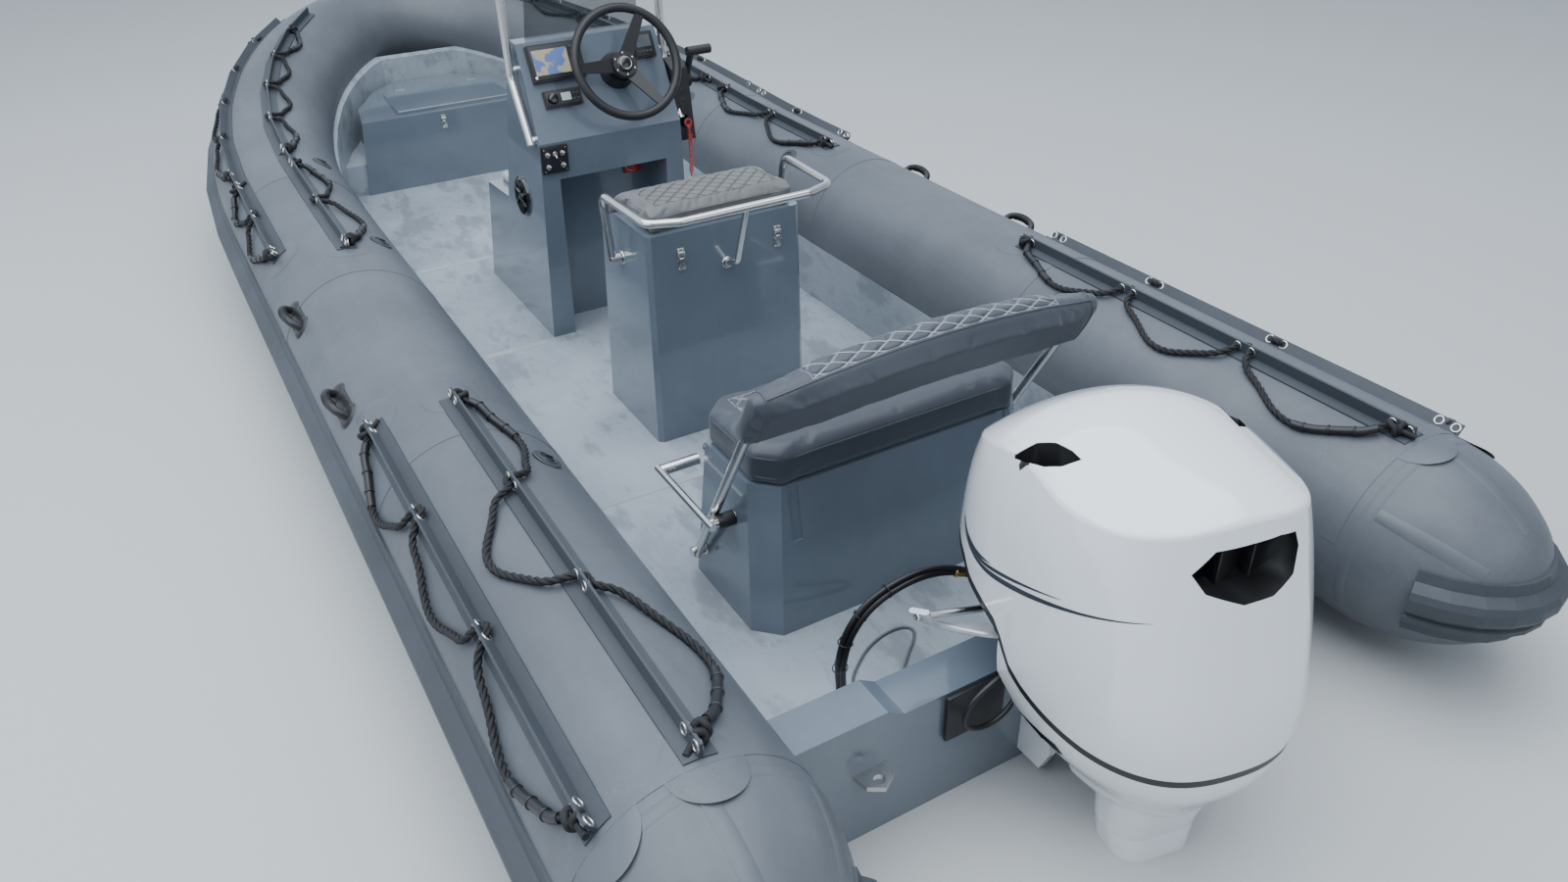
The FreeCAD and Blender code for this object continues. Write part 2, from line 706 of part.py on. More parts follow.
# Steering: boss on the dash and a three spoke wheel on a sloping shaft
wheel_base = dash_low + dash_dir * 198 + V(0, -75, 0)
boss = given(doc.addObject("Part::Cone", "helm_cone"), Radius1=62, Radius2=48, Height=40)
boss.Placement = FreeCAD.Placement(wheel_base, turned(dash_out))
shaft_bore = cylinder("helm_bore", wheel_base - dash_out * 5, dash_out, 12.05, 60)
keep(cut_of("helm_cut", boss, [shaft_bore]), "helm_boss")
wheel_centre = wheel_base + dash_out * 110
rim_r = size("wheel_radius")
rim = given(doc.addObject("Part::Torus", "wheel_rim"), Radius1="Sizes.wheel_radius", Radius2="Sizes.rim_radius")
rim.Placement = FreeCAD.Placement(wheel_centre, turned(dash_out))
hub = cylinder("wheel_hub", wheel_centre - dash_out * 52, dash_out, 42, 34)
wheel_shaft = cylinder("wheel_shaft", wheel_base + dash_out * 2, dash_out, 12, 62)
spokes = []
for turn in (90, 210, 330):
    ray = FreeCAD.Rotation(dash_out, turn).multVec(dash_dir)
    side = dash_out.cross(ray)
    inner = wheel_centre - dash_out * 38 + ray * 30
    outer = wheel_centre + ray * (rim_r - 6)
    section = [inner + side * 24, inner - side * 24, outer - side * 15, outer + side * 15]
    spokes.append(loose("wheel_spoke_%d" % turn, prism(section, dash_out * 9)))
keep(fuse_of("wheel_fused", [rim, hub, wheel_shaft] + spokes), "steering_wheel")

# Throttle control on the starboard side
box_y = -cw + 24
control = prism([V(-128, box_y - 62, 690), V(-60, box_y - 62, 690), V(25, box_y - 62, 900), V(-30, box_y - 62, 960),
                 V(-90, box_y - 62, 930)], V(0, 62, 0))
control = control.cut(console_form(CONSOLE, 0))
clear_r = rr + 4
control = control.cut(rod(V(-112, -278, 740), V(-112, -278, 785), clear_r))
control = control.cut(rod(V(-124, -278, 746), V(20, -278, 976), clear_r)).cut(rod(V(-104, -220, 778), V(-104, -300, 778), 18))
lever = fused(rod(V(-40, box_y - 62, 880), V(-40, box_y - 88, 880), 30),
              rod(V(-40, box_y - 78, 880), V(-95, box_y - 78, 985), 12),
              rod(V(-95, box_y - 150, 985), V(-95, box_y - 62, 985), 16))
feature("throttle", one_solid(fused(control, lever)))

# ---- jockey seat rail, with side feet and a centre leg
rail_z = sz1 + 130
seat_rail = bent_tube([V(sx1 - 190, sh + 22, sz1 - 80), V(sx1 - 200, sh + 40, rail_z), V(sx0 - 95, sh + 30, rail_z),
                       V(sx0 - 130, sh - 60, rail_z), V(sx0 - 130, -sh + 60, rail_z),
                       V(sx0 - 95, -sh - 30, rail_z), V(sx1 - 200, -sh - 40, rail_z),
                       V(sx1 - 190, -sh - 22, sz1 - 80)], 40, 12)
feet = []
for s in (-1, 1):
    feet.append(rod(V(sx1 - 190, s * (sh - 4), sz1 - 80), V(sx1 - 190, s * (sh + 30), sz1 - 80), 16))
leg = bent_tube([V(sx0 - 130, 0, rail_z), V(sx0 - 60, 0, sz1 - 60), V(sx0 + 6, 0, sz1 - 85)], 30, 10)
seat_rail = fused(seat_rail, leg, *feet)
seat_rail = seat_rail.cut(seat_form)
feature("seat_rail", one_solid(seat_rail))

# ---- bench backrest on swinging arms, with stops
px = bx0 + 320
pz = DECK + 85
lean = math.radians(size("backrest_lean"))
arm_dir = V(-math.sin(lean), 0, math.cos(lean))
arm_side = V(math.cos(lean), 0, math.sin(lean))
arm_y = size("arm_spacing") / 2
arm_r = size("arm_radius")


def arm_point(reach, side, y):
    return V(px, y, pz) + arm_dir * reach + arm_side * side


def back_section(y):
    """One slice of the arched pad: thinner toward its ends, which sit lower."""
    share = abs(y) / (arm_y + 35)
    middle = 722 - 58 * share ** 2
    tall = 96 - 16 * share ** 2
    thick = 46 - (18 * share ** 6)
    rows = [(-1, -0.5), (-0.8, -1), (0.7, -0.92), (1, -0.45), (1, 0.45), (0.7, 0.92), (-0.8, 1), (-1, 0.5)]
    return poly([arm_point(middle + r * tall, t * thick, y) for r, t in rows])


back_end = arm_y + 35
slices = [-back_end, -back_end + 30, -0.62 * back_end, -0.3 * back_end, 0, 0.3 * back_end, 0.62 * back_end,
          back_end - 30, back_end]
back = Part.makeLoft([back_section(y) for y in slices], True, True)
for s in (-1, 1):
    back = back.cut(rod(arm_point(520, 0, s * arm_y), arm_point(680, 0, s * arm_y), arm_r))
feature("backrest", one_solid(back))
outer = drafted(bx0, bx1, bh, DECK, 70, 5, 40, bz1, 60)
box_form = loose("bench_outside", outer)
stop_y = arm_y + arm_r + 6 + size("stop_radius")
for s in (-1, 1):
    y = s * arm_y
    name = "port" if s > 0 else "starboard"
    arm = cylinder("arm_%s" % name, arm_point(-22, 0, y), arm_dir, "Sizes.arm_radius", 702)
    bore = cylinder("arm_bore_%s" % name, V(px, y - 30, pz), V(0, 1, 0), "Sizes.pivot_radius + 0.05", 60)
    keep(cut_of("arm_cut_%s" % name, arm, [bore]), "backrest_arm_%s" % name)
    pin = cylinder("pivot_pin_%s" % name, V(px, s * (bh - 60), pz), V(0, s, 0), "Sizes.pivot_radius", arm_y + 18 - bh + 60)
    cap = cylinder("pivot_cap_%s" % name, V(px, y + s * 13.5, pz), V(0, s, 0), 14, 5.5)
    spacer = cylinder("pivot_foot_%s" % name, V(px, s * (bh - 60), pz), V(0, s, 0), 14, arm_y - 13.5 - bh + 60)
    pivot = fuse_of("pivot_%s" % name, [pin, cap, spacer])
    keep(cut_of("pivot_seated_%s" % name, pivot, [box_form]), "backrest_pivot_%s" % name)
    bar_z = pz + 180
    bar = cylinder("stop_bar_%s" % name, V(px - 156, s * stop_y, bar_z), V(1, 0, 0), "Sizes.stop_radius", 312)
    posts = [cylinder("stop_post_%s_%d" % (name, k), V(px + dx, s * (bh - 70), bar_z), V(0, s, 0), 16, stop_y - bh + 70)
             for k, dx in enumerate((-139, 139))]
    stop = fuse_of("stop_%s" % name, [bar] + posts)
    keep(cut_of("stop_seated_%s" % name, stop, [box_form]), "backrest_stop_%s" % name)

# ---- bow locker with its lid

lx = size("locker_aft")
lt = size("locker_top")
lh = size("locker_half")
locker_rows = [(lx, lh), (lx + 260, lh - 40), (lx + 520, lh - 170), (lx + 690, lh - 330)]


def locker_ring(inset, lean, z):
    port = [(x - inset * (1 if i == 3 else 0), y - inset - lean) for i, (x, y) in enumerate(locker_rows)]
    port[0] = (port[0][0] + inset + lean * 0.5, port[0][1])
    return poly([V(x, y, z) for x, y in port] + [V(x, -y, z) for x, y in reversed(port)])


locker = Part.makeLoft([locker_ring(0, 0, DECK), locker_ring(0, 35, lt)], True, True)
locker_hollow = Part.makeLoft([locker_ring(WALL, 0, DECK - 1), locker_ring(WALL, 35, lt - WALL)], True, True)
locker = locker.cut(locker_hollow).cut(block(lx + 75, lx + 395, -260, 260, lt - 30, lt + 5))
feature("bow_locker", one_solid(locker.cut(liner).cut(hull_obj.Shape)))
lid_body = pad_body("bow_lid", [(lx + 55, -285), (lx + 415, -265), (lx + 415, 265), (lx + 55, 285)],
                    "Sizes.lid_thickness", V(0, 0, lt), "Sizes.lid_thickness * 0.3")
bow_knuckles = [cylinder("bow_knuckle_%d" % k, V(lx + 415, y, lt + size("lid_thickness")), V(0, 1, 0), "Sizes.hinge_radius", 50)
                for k, y in enumerate((-205, 155))]
keep(fuse_of("bow_lid_fused", [lid_body] + bow_knuckles), "bow_lid")

# ---- outboard motor: clamp bracket, swivel bracket, steering and tilt rams

tx = size("tilt_axis_aft")
tz = size("tilt_axis_up")
pin_r = size("tilt_pin")
top = ledge_mid
ax = size("steer_axis_aft")
sp = size("steer_pin")
clamp_rows = [(transom_x, 30), (transom_x, top), (transom_x + 40, top), (transom_x + 40, top + 8),
              (tx + 17, top + 8), (tx + 17, tz - 42), (tx + 32, tz - 24), (tx + 34, tz + 24), (tx - 10, tz + 34), (tx - 52, tz - 10), (transom_x - 95, 90), (transom_x - 70, 30)]
plates = [profile_xz(clamp_rows, 100, 120), profile_xz(clamp_rows, -120, -100)]
tilt_tube = rod(V(tx, -168, tz), V(tx, 168, tz), pin_r)
cylinder_low = V(transom_x - 50, 0, 70)
cross = rod(cylinder_low + V(0, -110, 0), cylinder_low + V(0, 110, 0), 14)
feature("clamp_bracket", one_solid(fused(plates[0], plates[1], tilt_tube, cross)))

# Tilt ram: the cylinder swings on the low pin, the rod's eye lies open in the swivel bracket
eye = V(tx - 70, 0, tz - 105)
ram_dir = eye.sub(cylinder_low).normalize()
tilt_barrel = cylinder("tilt_barrel", cylinder_low - ram_dir * 24, ram_dir, "Sizes.tilt_ram_radius", 209)
barrel_bore = cylinder("tilt_bore", cylinder_low + ram_dir * 22, ram_dir, "Sizes.tilt_rod_radius + 0.05", 173)
pin_bore = cylinder("tilt_pin_bore", cylinder_low + V(0, -60, 0), V(0, 1, 0), 14.05, 120)
keep(cut_of("tilt_cylinder_cut", tilt_barrel, [barrel_bore, pin_bore]), "tilt_cylinder")
ram_shank = cylinder("tilt_shank", cylinder_low + ram_dir * 26, ram_dir, "Sizes.tilt_rod_radius",
                     eye.sub(cylinder_low).Length - 26)
ram_eye = cylinder("tilt_eye", eye - V(0, 14, 0), V(0, 1, 0), 20, 28)
keep(fuse_of("tilt_rod_fused", [ram_shank, ram_eye]), "tilt_rod")

barrel = rod(V(ax, 0, 95), V(ax, 0, 340), 44)
knuckle = rod(V(tx, -90, tz), V(tx, 90, tz), 36)
web_rows = [(tx + 20, tz + 20), (tx - 25, tz + 26), (ax + 92, tz - 12), (ax + 92, 340), (ax, 340), (ax, 250),
            (ax + 62, 250), (tx + 20, tz - 28)]
web = profile_xz(web_rows, -62, 62).cut(block(ax + 46, tx + 60, -26, 26, 200, tz - 37))
swivel = fused(barrel, knuckle, web)
swivel = swivel.cut(rod(V(tx, -200, tz), V(tx, 200, tz), pin_r + 0.05))
swivel = swivel.cut(rod(V(ax, 0, 0), V(ax, 0, 500), sp + 0.05))
feature("swivel_bracket", one_solid(swivel))

# Steering: a cross rod ahead of the tilt tube on two carriers, and the cylinder that slides on it
ram_x, ram_z = tx + 72, tz + 20
carriers = []
for s in (-1, 1):
    plan = [(tx - 26, 130), (tx - 26, 156), (tx + 24, 156), (ram_x - 22, 196), (ram_x + 18, 196),
            (ram_x + 18, 172), (ram_x - 6, 168), (tx + 32, 130)]
    side = [(tx - 26, tz - 26), (tx - 26, tz + 26), (ram_x - 24, ram_z + 18), (ram_x + 18, ram_z + 18),
            (ram_x + 18, ram_z - 18), (tx + 26, tz - 26)]
    form = profile_xy([(x, s * y) for x, y in plan], tz - 60, ram_z + 60)
    carriers.append(form.common(profile_xz(side, -260, 260)))
cross_rod = rod(V(ram_x, -190, ram_z), V(ram_x, 190, ram_z), size("rod_radius"))
steering_rod = fused(cross_rod, *carriers).cut(rod(V(tx, -300, tz), V(tx, 300, tz), pin_r + 0.05))
feature("steering_rod", one_solid(steering_rod))
turn_now = math.radians(size("steer_turn"))
ram_y = (ram_x - ax) * math.sin(turn_now) * 0.5
ram = cylinder("steering_cylinder", V(ram_x, ram_y - 80, ram_z), V(0, 1, 0), "Sizes.ram_radius", 160)
ram_bore = cylinder("steering_bore", V(ram_x, ram_y - 90, ram_z), V(0, 1, 0), "Sizes.rod_radius + 0.05", 180)
keep(cut_of("steering_ram_cut", ram, [ram_bore]), "steering_ram")


def oval(x0, x1, half, z, corner):
    """A rounded outline in plan from lines and arcs."""
    c = min(corner, half - 2, (x1 - x0) / 2 - 2)
    k = c * (1 - math.sqrt(0.5))
    e = []
    e.append(Part.LineSegment(V(x0 + c, half, z), V(x1 - c, half, z)).toShape())
    e.append(Part.Arc(V(x1 - c, half, z), V(x1 - k, half - k, z), V(x1, half - c, z)).toShape())
    e.append(Part.LineSegment(V(x1, half - c, z), V(x1, -half + c, z)).toShape())
    e.append(Part.Arc(V(x1, -half + c, z), V(x1 - k, -half + k, z), V(x1 - c, -half, z)).toShape())
    e.append(Part.LineSegment(V(x1 - c, -half, z), V(x0 + c, -half, z)).toShape())
    e.append(Part.Arc(V(x0 + c, -half, z), V(x0 + k, -half + k, z), V(x0, -half + c, z)).toShape())
    e.append(Part.LineSegment(V(x0, -half + c, z), V(x0, half - c, z)).toShape())
    e.append(Part.Arc(V(x0, half - c, z), V(x0 + k, half - k, z), V(x0 + c, half, z)).toShape())
    return Part.Wire(e)


AT_REST = FreeCAD.Placement(V(0, 0, 0), FreeCAD.Rotation(UP, size("steer_turn")), V(ax, 0, 0))

# The cowl is a stack of rounded outlines under a crowned top, split at the seal, with its underside
# raised ahead of the leg
def egg(x0, x1, half, fullness, z):
    """A superellipse in plan."""
    middle, reach = (x0 + x1) / 2, (x1 - x0) / 2
    points = []
    for step in range(28):
        a = 2 * math.pi * step / 28
        c, d = math.cos(a), math.sin(a)
        points.append(V(middle + reach * math.copysign(abs(c) ** (2 / fullness), c),
                        half * math.copysign(abs(d) ** (2 / fullness), d), z))
    curve = Part.BSplineCurve()
    curve.interpolate(points, PeriodicFlag=True)
    return Part.Wire(curve.toShape())


COWL = [(-2868, -2330, 130, 2.3, 150), (-2915, -2275, 180, 2.35, 205), (-2950, -2235, 222, 2.4, 262),
        (-2975, -2212, 255, 2.45, 315), (-2985, -2202, 270, 2.5, 370), (-2982, -2202, 275, 2.6, 450),
        (-2952, -2210, 268, 2.7, 580), (-2922, -2228, 254, 2.7, 700), (-2902, -2255, 238, 2.7, 780),
        (-2868, -2300, 205, 2.7, 900), (-2850, -2330, 190, 2.7, 960)]
TOP = [(-3060, 800, 640), (-2920, 846, 706), (-2840, 872, 737), (-2700, 893, 758), (-2540, 904, 769),
       (-2430, 868, 738), (-2340, 812, 690), (-2240, 720, 610), (-2140, 600, 500)]


def crown(x, middle, edge):
    """A slice across the cowl under its arched top; the edge height is 250 mm out."""
    foot = middle - (middle - edge) * (330 / 250.0) ** 2
    arc = Part.Arc(V(x, -330, foot), V(x, 0, middle), V(x, 330, foot)).toShape()
    sides = Part.makePolygon([V(x, 330, foot), V(x, 330, 60), V(x, -330, 60), V(x, -330, foot)])
    return Part.Wire([arc] + sides.Edges)


cowl = Part.makeLoft([egg(*row) for row in COWL], True, False)
cowl = one_solid(cowl.common(Part.makeLoft([crown(*row) for row in TOP], True, False)))
cowl = rounded(cowl, size("crease_radius"), lambda e: e.BoundBox.ZMax > 600 and e.BoundBox.ZMin > 380 and e.Length > 400)
underside = [(-2100, 100), (-2100, 500), (-2200, 498), (-2350, 494), (-2405, 486), (-2440, 464), (-2540, 456),
             (-2738, 456), (-2738, 230), (-2738, 100)]


def raised(aft):
    """The underside's space ahead of a station."""
    return [(x, z) for x, z in underside if x > aft] + [(aft, 456), (aft, 100)]


cowl = cowl.cut(fused(profile_xz(underside, -190, 190), profile_xz(raised(-2645), -235, 235),
                      profile_xz(raised(-2600), -400, 400),
                      profile_xz([(-2648, 100), (-2648, 335), (-2590, 368), (-2590, 100)], -400, 400)))
for s in (-1, 1):
    lens = [(-2512, 230), (-2528, 196), (-2560, 176), (-2600, 166), (-2628, 164), (-2614, 194), (-2588, 214), (-2550, 228)]
    cowl = cowl.cut(profile_xy([(x, s * y) for x, y in lens], 745, 1000))
    slot = [(-2800, 318), (-2786, 334), (-2700, 322), (-2664, 312), (-2660, 300), (-2672, 292), (-2720, 294), (-2780, 304)]
    cowl = cowl.cut(profile_xz(slot, min(s * 232, s * 400), max(s * 232, s * 400)))
vent = [(105, 782), (65, 819), (-60, 822), (-97, 816), (-106, 788), (-94, 742), (-50, 717), (10, 715), (82, 747)]
cowl = cowl.cut(profile_yz(vent, -3100, -2852))
cowl = one_solid(cowl)
SEAL = [(-3200, 352), (-2960, 360), (-2850, 368), (-2750, 380), (-2690, 389), (-2645, 404), (-2605, 443), (-2575, 462),
        (-2520, 468), (-2450, 476), (-2410, 496), (-2350, 506), (-2200, 514), (-2100, 518)]


def over_line(rows, lift, height):
    """The space over a line drawn in side view."""
    low = [(x, z + lift) for x, z in rows]
    return profile_xz(low + [(rows[-1][0], height), (rows[0][0], height)], -500, 500)


band = size("seal_band")
upper = one_solid(cowl.common(over_line(SEAL, band, 1400)))
lower = one_solid(cowl.cut(over_line(SEAL, 0, 1400)))
seal = one_solid(cowl.common(over_line(SEAL, 0, 1400)).cut(over_line(SEAL, band, 1400)))
LEG = [(-2880, -2730, 46, -300, 42), (-2866, -2722, 80, -60, 50), (-2856, -2717, 100, 60, 56),
       (-2884, -2717, 116, 200, 62), (-2892, -2717, 118, 245, 62)]
leg = Part.makeLoft([oval(*row) for row in LEG], True, True)
shaft = rod(V(ax, 0, 60), V(ax, 0, 362), sp)
yoke_low = block(-2780, ax + 34, -45, 45, 50, 86)
yoke_top = block(-2780, ax + 40, -48, 48, 345, 362)
mount_block = block(-2900, -2735, -70, 70, 240, 362)
midsection = one_solid(fused(leg, shaft, yoke_low, yoke_top, mount_block))
feature("midsection", midsection, AT_REST)
feature("lower_cowl", one_solid(lower.cut(midsection)), AT_REST)
feature("cowl_seal", seal, AT_REST)
feature("upper_cowl", upper, AT_REST)

pd = -size("prop_depth")
plate_z = -size("plate_depth")
gear = [(-2892, -2728, 46, plate_z - 1, 42), (-2885, -2725, 38, plate_z - 60, 36), (-2900, -2715, 44, pd + 30, 40)]
strut = Part.makeLoft([oval(*row) for row in gear], True, True)
torpedo = Part.makeCylinder(52, 205, V(-2935, 0, pd), V(1, 0, 0))
nose = Part.makeCone(52, 14, 110, V(-2730, 0, pd), V(1, 0, 0))
plate = profile_xy([(-3120, 60), (-3120, -60), (-2930, -105), (-2740, -80), (-2680, -30), (-2680, 30), (-2740, 80),
                    (-2930, 105)], plate_z - 3, plate_z + 5)
skeg = prism([V(-2925, -6, pd - 40), V(-2735, -6, pd - 40), V(-2830, -6, pd - 165), V(-2925, -6, pd - 170)], V(0, 12, 0))
unit = one_solid(fused(strut, torpedo, nose, plate, skeg))
unit = unit.cut(midsection).cut(Part.makeCylinder(11.05, 60, V(-2940, 0, pd), V(1, 0, 0)))
feature("lower_unit", one_solid(unit), AT_REST)

# Propeller: hub and three twisted blades
hub_p = Part.makeCone(40, 46, 120, V(-3062, 0, pd), V(1, 0, 0))
prop_shaft = Part.makeCylinder(11, 175, V(-3070, 0, pd), V(1, 0, 0))
blades = []
for turn in (0, 120, 240):
    sections = []
    for radius, chord, pitch in ((35, 90, 60), (90, 130, 40), (140, 120, 30), (size("prop_radius") - 30, 60, 25)):
        a = math.radians(pitch)
        cx, cy = math.sin(a) * chord / 2, math.cos(a) * chord / 2
        lx_, ly_ = math.cos(a) * 4, -math.sin(a) * 4
        sections.append(poly([V(-3002 + cx + lx_, cy + ly_, radius), V(-3002 - cx + lx_, -cy + ly_, radius),
                              V(-3002 - cx - lx_, -cy - ly_, radius), V(-3002 + cx - lx_, cy - ly_, radius)]))
    blade = Part.makeLoft(sections, True, True)
    blade.rotate(V(-3002, 0, 0), V(1, 0, 0), turn)
    blade.translate(V(0, 0, pd))
    blades.append(blade)
prop = one_solid(fused(hub_p, prop_shaft, *blades))
feature("propeller", prop, AT_REST)

doc.recompute()
os.makedirs("parts", exist_ok=True)
bad = []
for obj in doc.Objects:
    if "Invalid" in obj.State or "Error" in obj.State:
        bad.append(obj.Label)
for obj in NODES:
    shape = obj.Shape
    if shape.isNull() or not shape.isValid() or len(shape.Solids) != 1:
        bad.append("%s: null %s valid %s solids %d" % (obj.Label, shape.isNull(), shape.isValid(), len(shape.Solids)))
if bad:
    raise RuntimeError("these failed: " + "; ".join(bad))
for obj in NODES:
    one_solid(obj.Shape).exportStep("parts/%s.step" % obj.Label)
print("%d nodes written" % len(NODES))
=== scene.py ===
"""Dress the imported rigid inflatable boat: finishes, soft goods, ropes, fittings, floor, light and camera.

Lengths are metres and angles degrees unless a name says otherwise; +X is the bow, +Y is port and +Z is up.
"""

from __future__ import annotations

import json
import logging
import math
from dataclasses import dataclass
from enum import Enum
from typing import Any, Callable, Iterable, Sequence

import bmesh
import bpy
from mathutils import Matrix, Vector
from mathutils.bvhtree import BVHTree

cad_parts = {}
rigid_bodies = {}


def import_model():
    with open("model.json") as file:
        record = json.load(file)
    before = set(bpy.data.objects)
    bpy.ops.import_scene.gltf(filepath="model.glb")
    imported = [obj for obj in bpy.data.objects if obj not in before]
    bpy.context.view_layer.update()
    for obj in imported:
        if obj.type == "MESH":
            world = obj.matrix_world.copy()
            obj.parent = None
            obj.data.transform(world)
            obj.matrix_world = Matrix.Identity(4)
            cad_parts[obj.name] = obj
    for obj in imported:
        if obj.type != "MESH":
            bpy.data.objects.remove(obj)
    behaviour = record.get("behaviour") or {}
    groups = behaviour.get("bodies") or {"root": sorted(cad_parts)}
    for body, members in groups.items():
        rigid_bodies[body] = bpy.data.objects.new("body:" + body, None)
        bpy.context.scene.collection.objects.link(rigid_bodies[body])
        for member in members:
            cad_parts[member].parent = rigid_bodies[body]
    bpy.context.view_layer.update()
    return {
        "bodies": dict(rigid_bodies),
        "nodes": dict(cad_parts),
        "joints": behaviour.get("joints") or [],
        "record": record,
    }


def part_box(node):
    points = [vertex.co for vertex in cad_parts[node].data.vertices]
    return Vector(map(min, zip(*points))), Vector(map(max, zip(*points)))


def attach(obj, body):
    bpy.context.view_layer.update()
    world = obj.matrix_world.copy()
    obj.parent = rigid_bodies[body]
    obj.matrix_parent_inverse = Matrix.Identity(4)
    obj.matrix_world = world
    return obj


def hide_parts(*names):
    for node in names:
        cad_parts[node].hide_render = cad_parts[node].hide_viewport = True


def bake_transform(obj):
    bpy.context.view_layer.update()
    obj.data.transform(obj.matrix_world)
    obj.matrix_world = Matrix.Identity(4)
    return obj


log = logging.getLogger("boat")

Colour = tuple[float, float, float]
Point = tuple[float, float, float]
Spot = Point | Vector

SIDES = ((1, "port"), (-1, "starboard"))
FULL_TURN = 2 * math.pi
MERGE = 1e-5
MERGE_FINE = 1e-6


# ---------------------------------------------------------------- shader framework


class Wire:
    """A shader socket that takes part in Python expressions."""

    def __init__(self, shader: "Shader", socket: Any) -> None:
        """Keep the socket and the shader that it belongs to.

        Args:
            shader: The shader that new Math nodes are added to.
            socket: The output socket.
        """
        self.shader = shader
        self.socket = socket

    def maths(self, operation: str, *others: "Wire | float") -> "Wire":
        """Add a Math node that starts with this wire.

        Args:
            operation: The Math node's operation.
            others: The other inputs, in order.

        Returns:
            The result.
        """
        return self.shader.add("ShaderNodeMath", {"operation": operation}, dict(enumerate((self, *others))))

    def __add__(self, other: "Wire | float") -> "Wire":
        """Return the sum."""
        return self.maths("ADD", other)

    __radd__ = __add__

    def __sub__(self, other: "Wire | float") -> "Wire":
        """Return the difference."""
        return self.maths("SUBTRACT", other)

    def __rsub__(self, other: float) -> "Wire":
        """Return a number less this wire."""
        return self.shader.add("ShaderNodeMath", {"operation": "SUBTRACT"}, {0: other, 1: self})

    def __mul__(self, other: "Wire | float") -> "Wire":
        """Return the product."""
        return self.maths("MULTIPLY", other)

    __rmul__ = __mul__

    def __abs__(self) -> "Wire":
        """Return the size without the sign."""
        return self.maths("ABSOLUTE")

    def ramp(self, low: float, high: float) -> "Wire":
        """Step smoothly from 0 to 1.

        Args:
            low: The value up to which the result is 0.
            high: The value from which it is 1.

        Returns:
            The step.
        """
        return self.shader.add(
            "ShaderNodeMapRange",
            {"interpolation_type": "SMOOTHSTEP"},
            {"Value": self, "From Min": low, "From Max": high, "To Min": 0.0, "To Max": 1.0},
        )


class Shader:
    """The node tree of one material, with a Principled surface."""

    def __init__(self, name: str) -> None:
        """Start a material.

        Args:
            name: The material's name.
        """
        self.material = bpy.data.materials.new(name)
        self.material.use_nodes = True
        self.tree = self.material.node_tree
        self.tree.nodes.clear()
        self.surface = self.tree.nodes.new("ShaderNodeBsdfPrincipled")
        out = self.tree.nodes.new("ShaderNodeOutputMaterial")
        self.tree.links.new(self.surface.outputs[0], out.inputs["Surface"])
        self.places = self.add("ShaderNodeTexCoord", {}, {}, "Object")

    def add(
        self,
        kind: str,
        settings: dict[str, Any],
        inputs: dict[str | int, Any],
        output: str | int = 0,
    ) -> Wire:
        """Add a node.

        Args:
            kind: The node's type.
            settings: The node's own properties.
            inputs: Values or wires by socket name or index.
            output: The output that is returned.

        Returns:
            The chosen output.
        """
        node = self.tree.nodes.new(kind)
        for name, value in settings.items():
            setattr(node, name, value)
        for key, value in inputs.items():
            self.join(node.inputs[key], value)
        return Wire(self, node.outputs[output])

    def join(self, socket: Any, value: Any) -> None:
        """Give a socket a value or a link.

        Args:
            socket: The input socket.
            value: A wire, a number, a colour or a vector.
        """
        if isinstance(value, Wire):
            self.tree.links.new(value.socket, socket)
        elif socket.type == "RGBA" and len(value) == 3:
            socket.default_value = (*value, 1.0)
        else:
            socket.default_value = value

    def set(self, **values: Any) -> None:
        """Set the surface's sockets.

        Args:
            values: A value or a wire by socket name, with underscores for spaces.
        """
        for name, value in values.items():
            self.join(self.surface.inputs[name.replace("_", " ")], value)

    def noise(self, scale: float, detail: float = 4.0, roughness: float = 0.5, where: Wire | None = None) -> Wire:
        """Return a noise value, at the piece's own coordinates unless others are given."""
        inputs = {"Vector": where or self.places, "Scale": scale, "Detail": detail, "Roughness": roughness}
        return self.add("ShaderNodeTexNoise", {}, inputs)

    def cells(self, scale: float) -> Wire:
        """Return the distance of a Voronoi texture."""
        return self.add("ShaderNodeTexVoronoi", {}, {"Vector": self.places, "Scale": scale}, "Distance")

    def stretch(self, scale: Point) -> Wire:
        """Return the piece's coordinates, scaled."""
        return self.add("ShaderNodeMapping", {}, {"Vector": self.places, "Scale": scale})

    def blend(self, share: Wire | float, first: Wire | Colour, second: Wire | Colour) -> Wire:
        """Mix two colours.

        Args:
            share: How much of the second there is.
            first: The first colour.
            second: The second colour.

        Returns:
            The mix.
        """
        return self.add(
            "ShaderNodeMix",
            {"data_type": "RGBA", "clamp_factor": True},
            {0: share, 6: first, 7: second},
            2,
        )

    def bump(self, height: Wire, strength: float, distance: float, below: Wire | None = None) -> Wire:
        """Return a normal bumped by a height.

        Args:
            height: The height's wire.
            strength: The share of the bump that shows.
            distance: The bump's depth in metres.
            below: An earlier bump that this one lies on.

        Returns:
            The normal.
        """
        inputs: dict[str | int, Any] = {"Strength": strength, "Distance": distance, "Height": height}
        if below is not None:
            inputs["Normal"] = below
        return self.add("ShaderNodeBump", {}, inputs)


def shaded(colour: Colour, share: float) -> Colour:
    """Return a colour made lighter (share over 1) or darker.

    Args:
        colour: The colour.
        share: The factor on each part.

    Returns:
        The new colour.
    """
    return tuple(min(1.0, part * share) for part in colour)


# ---------------------------------------------------------------- finishes


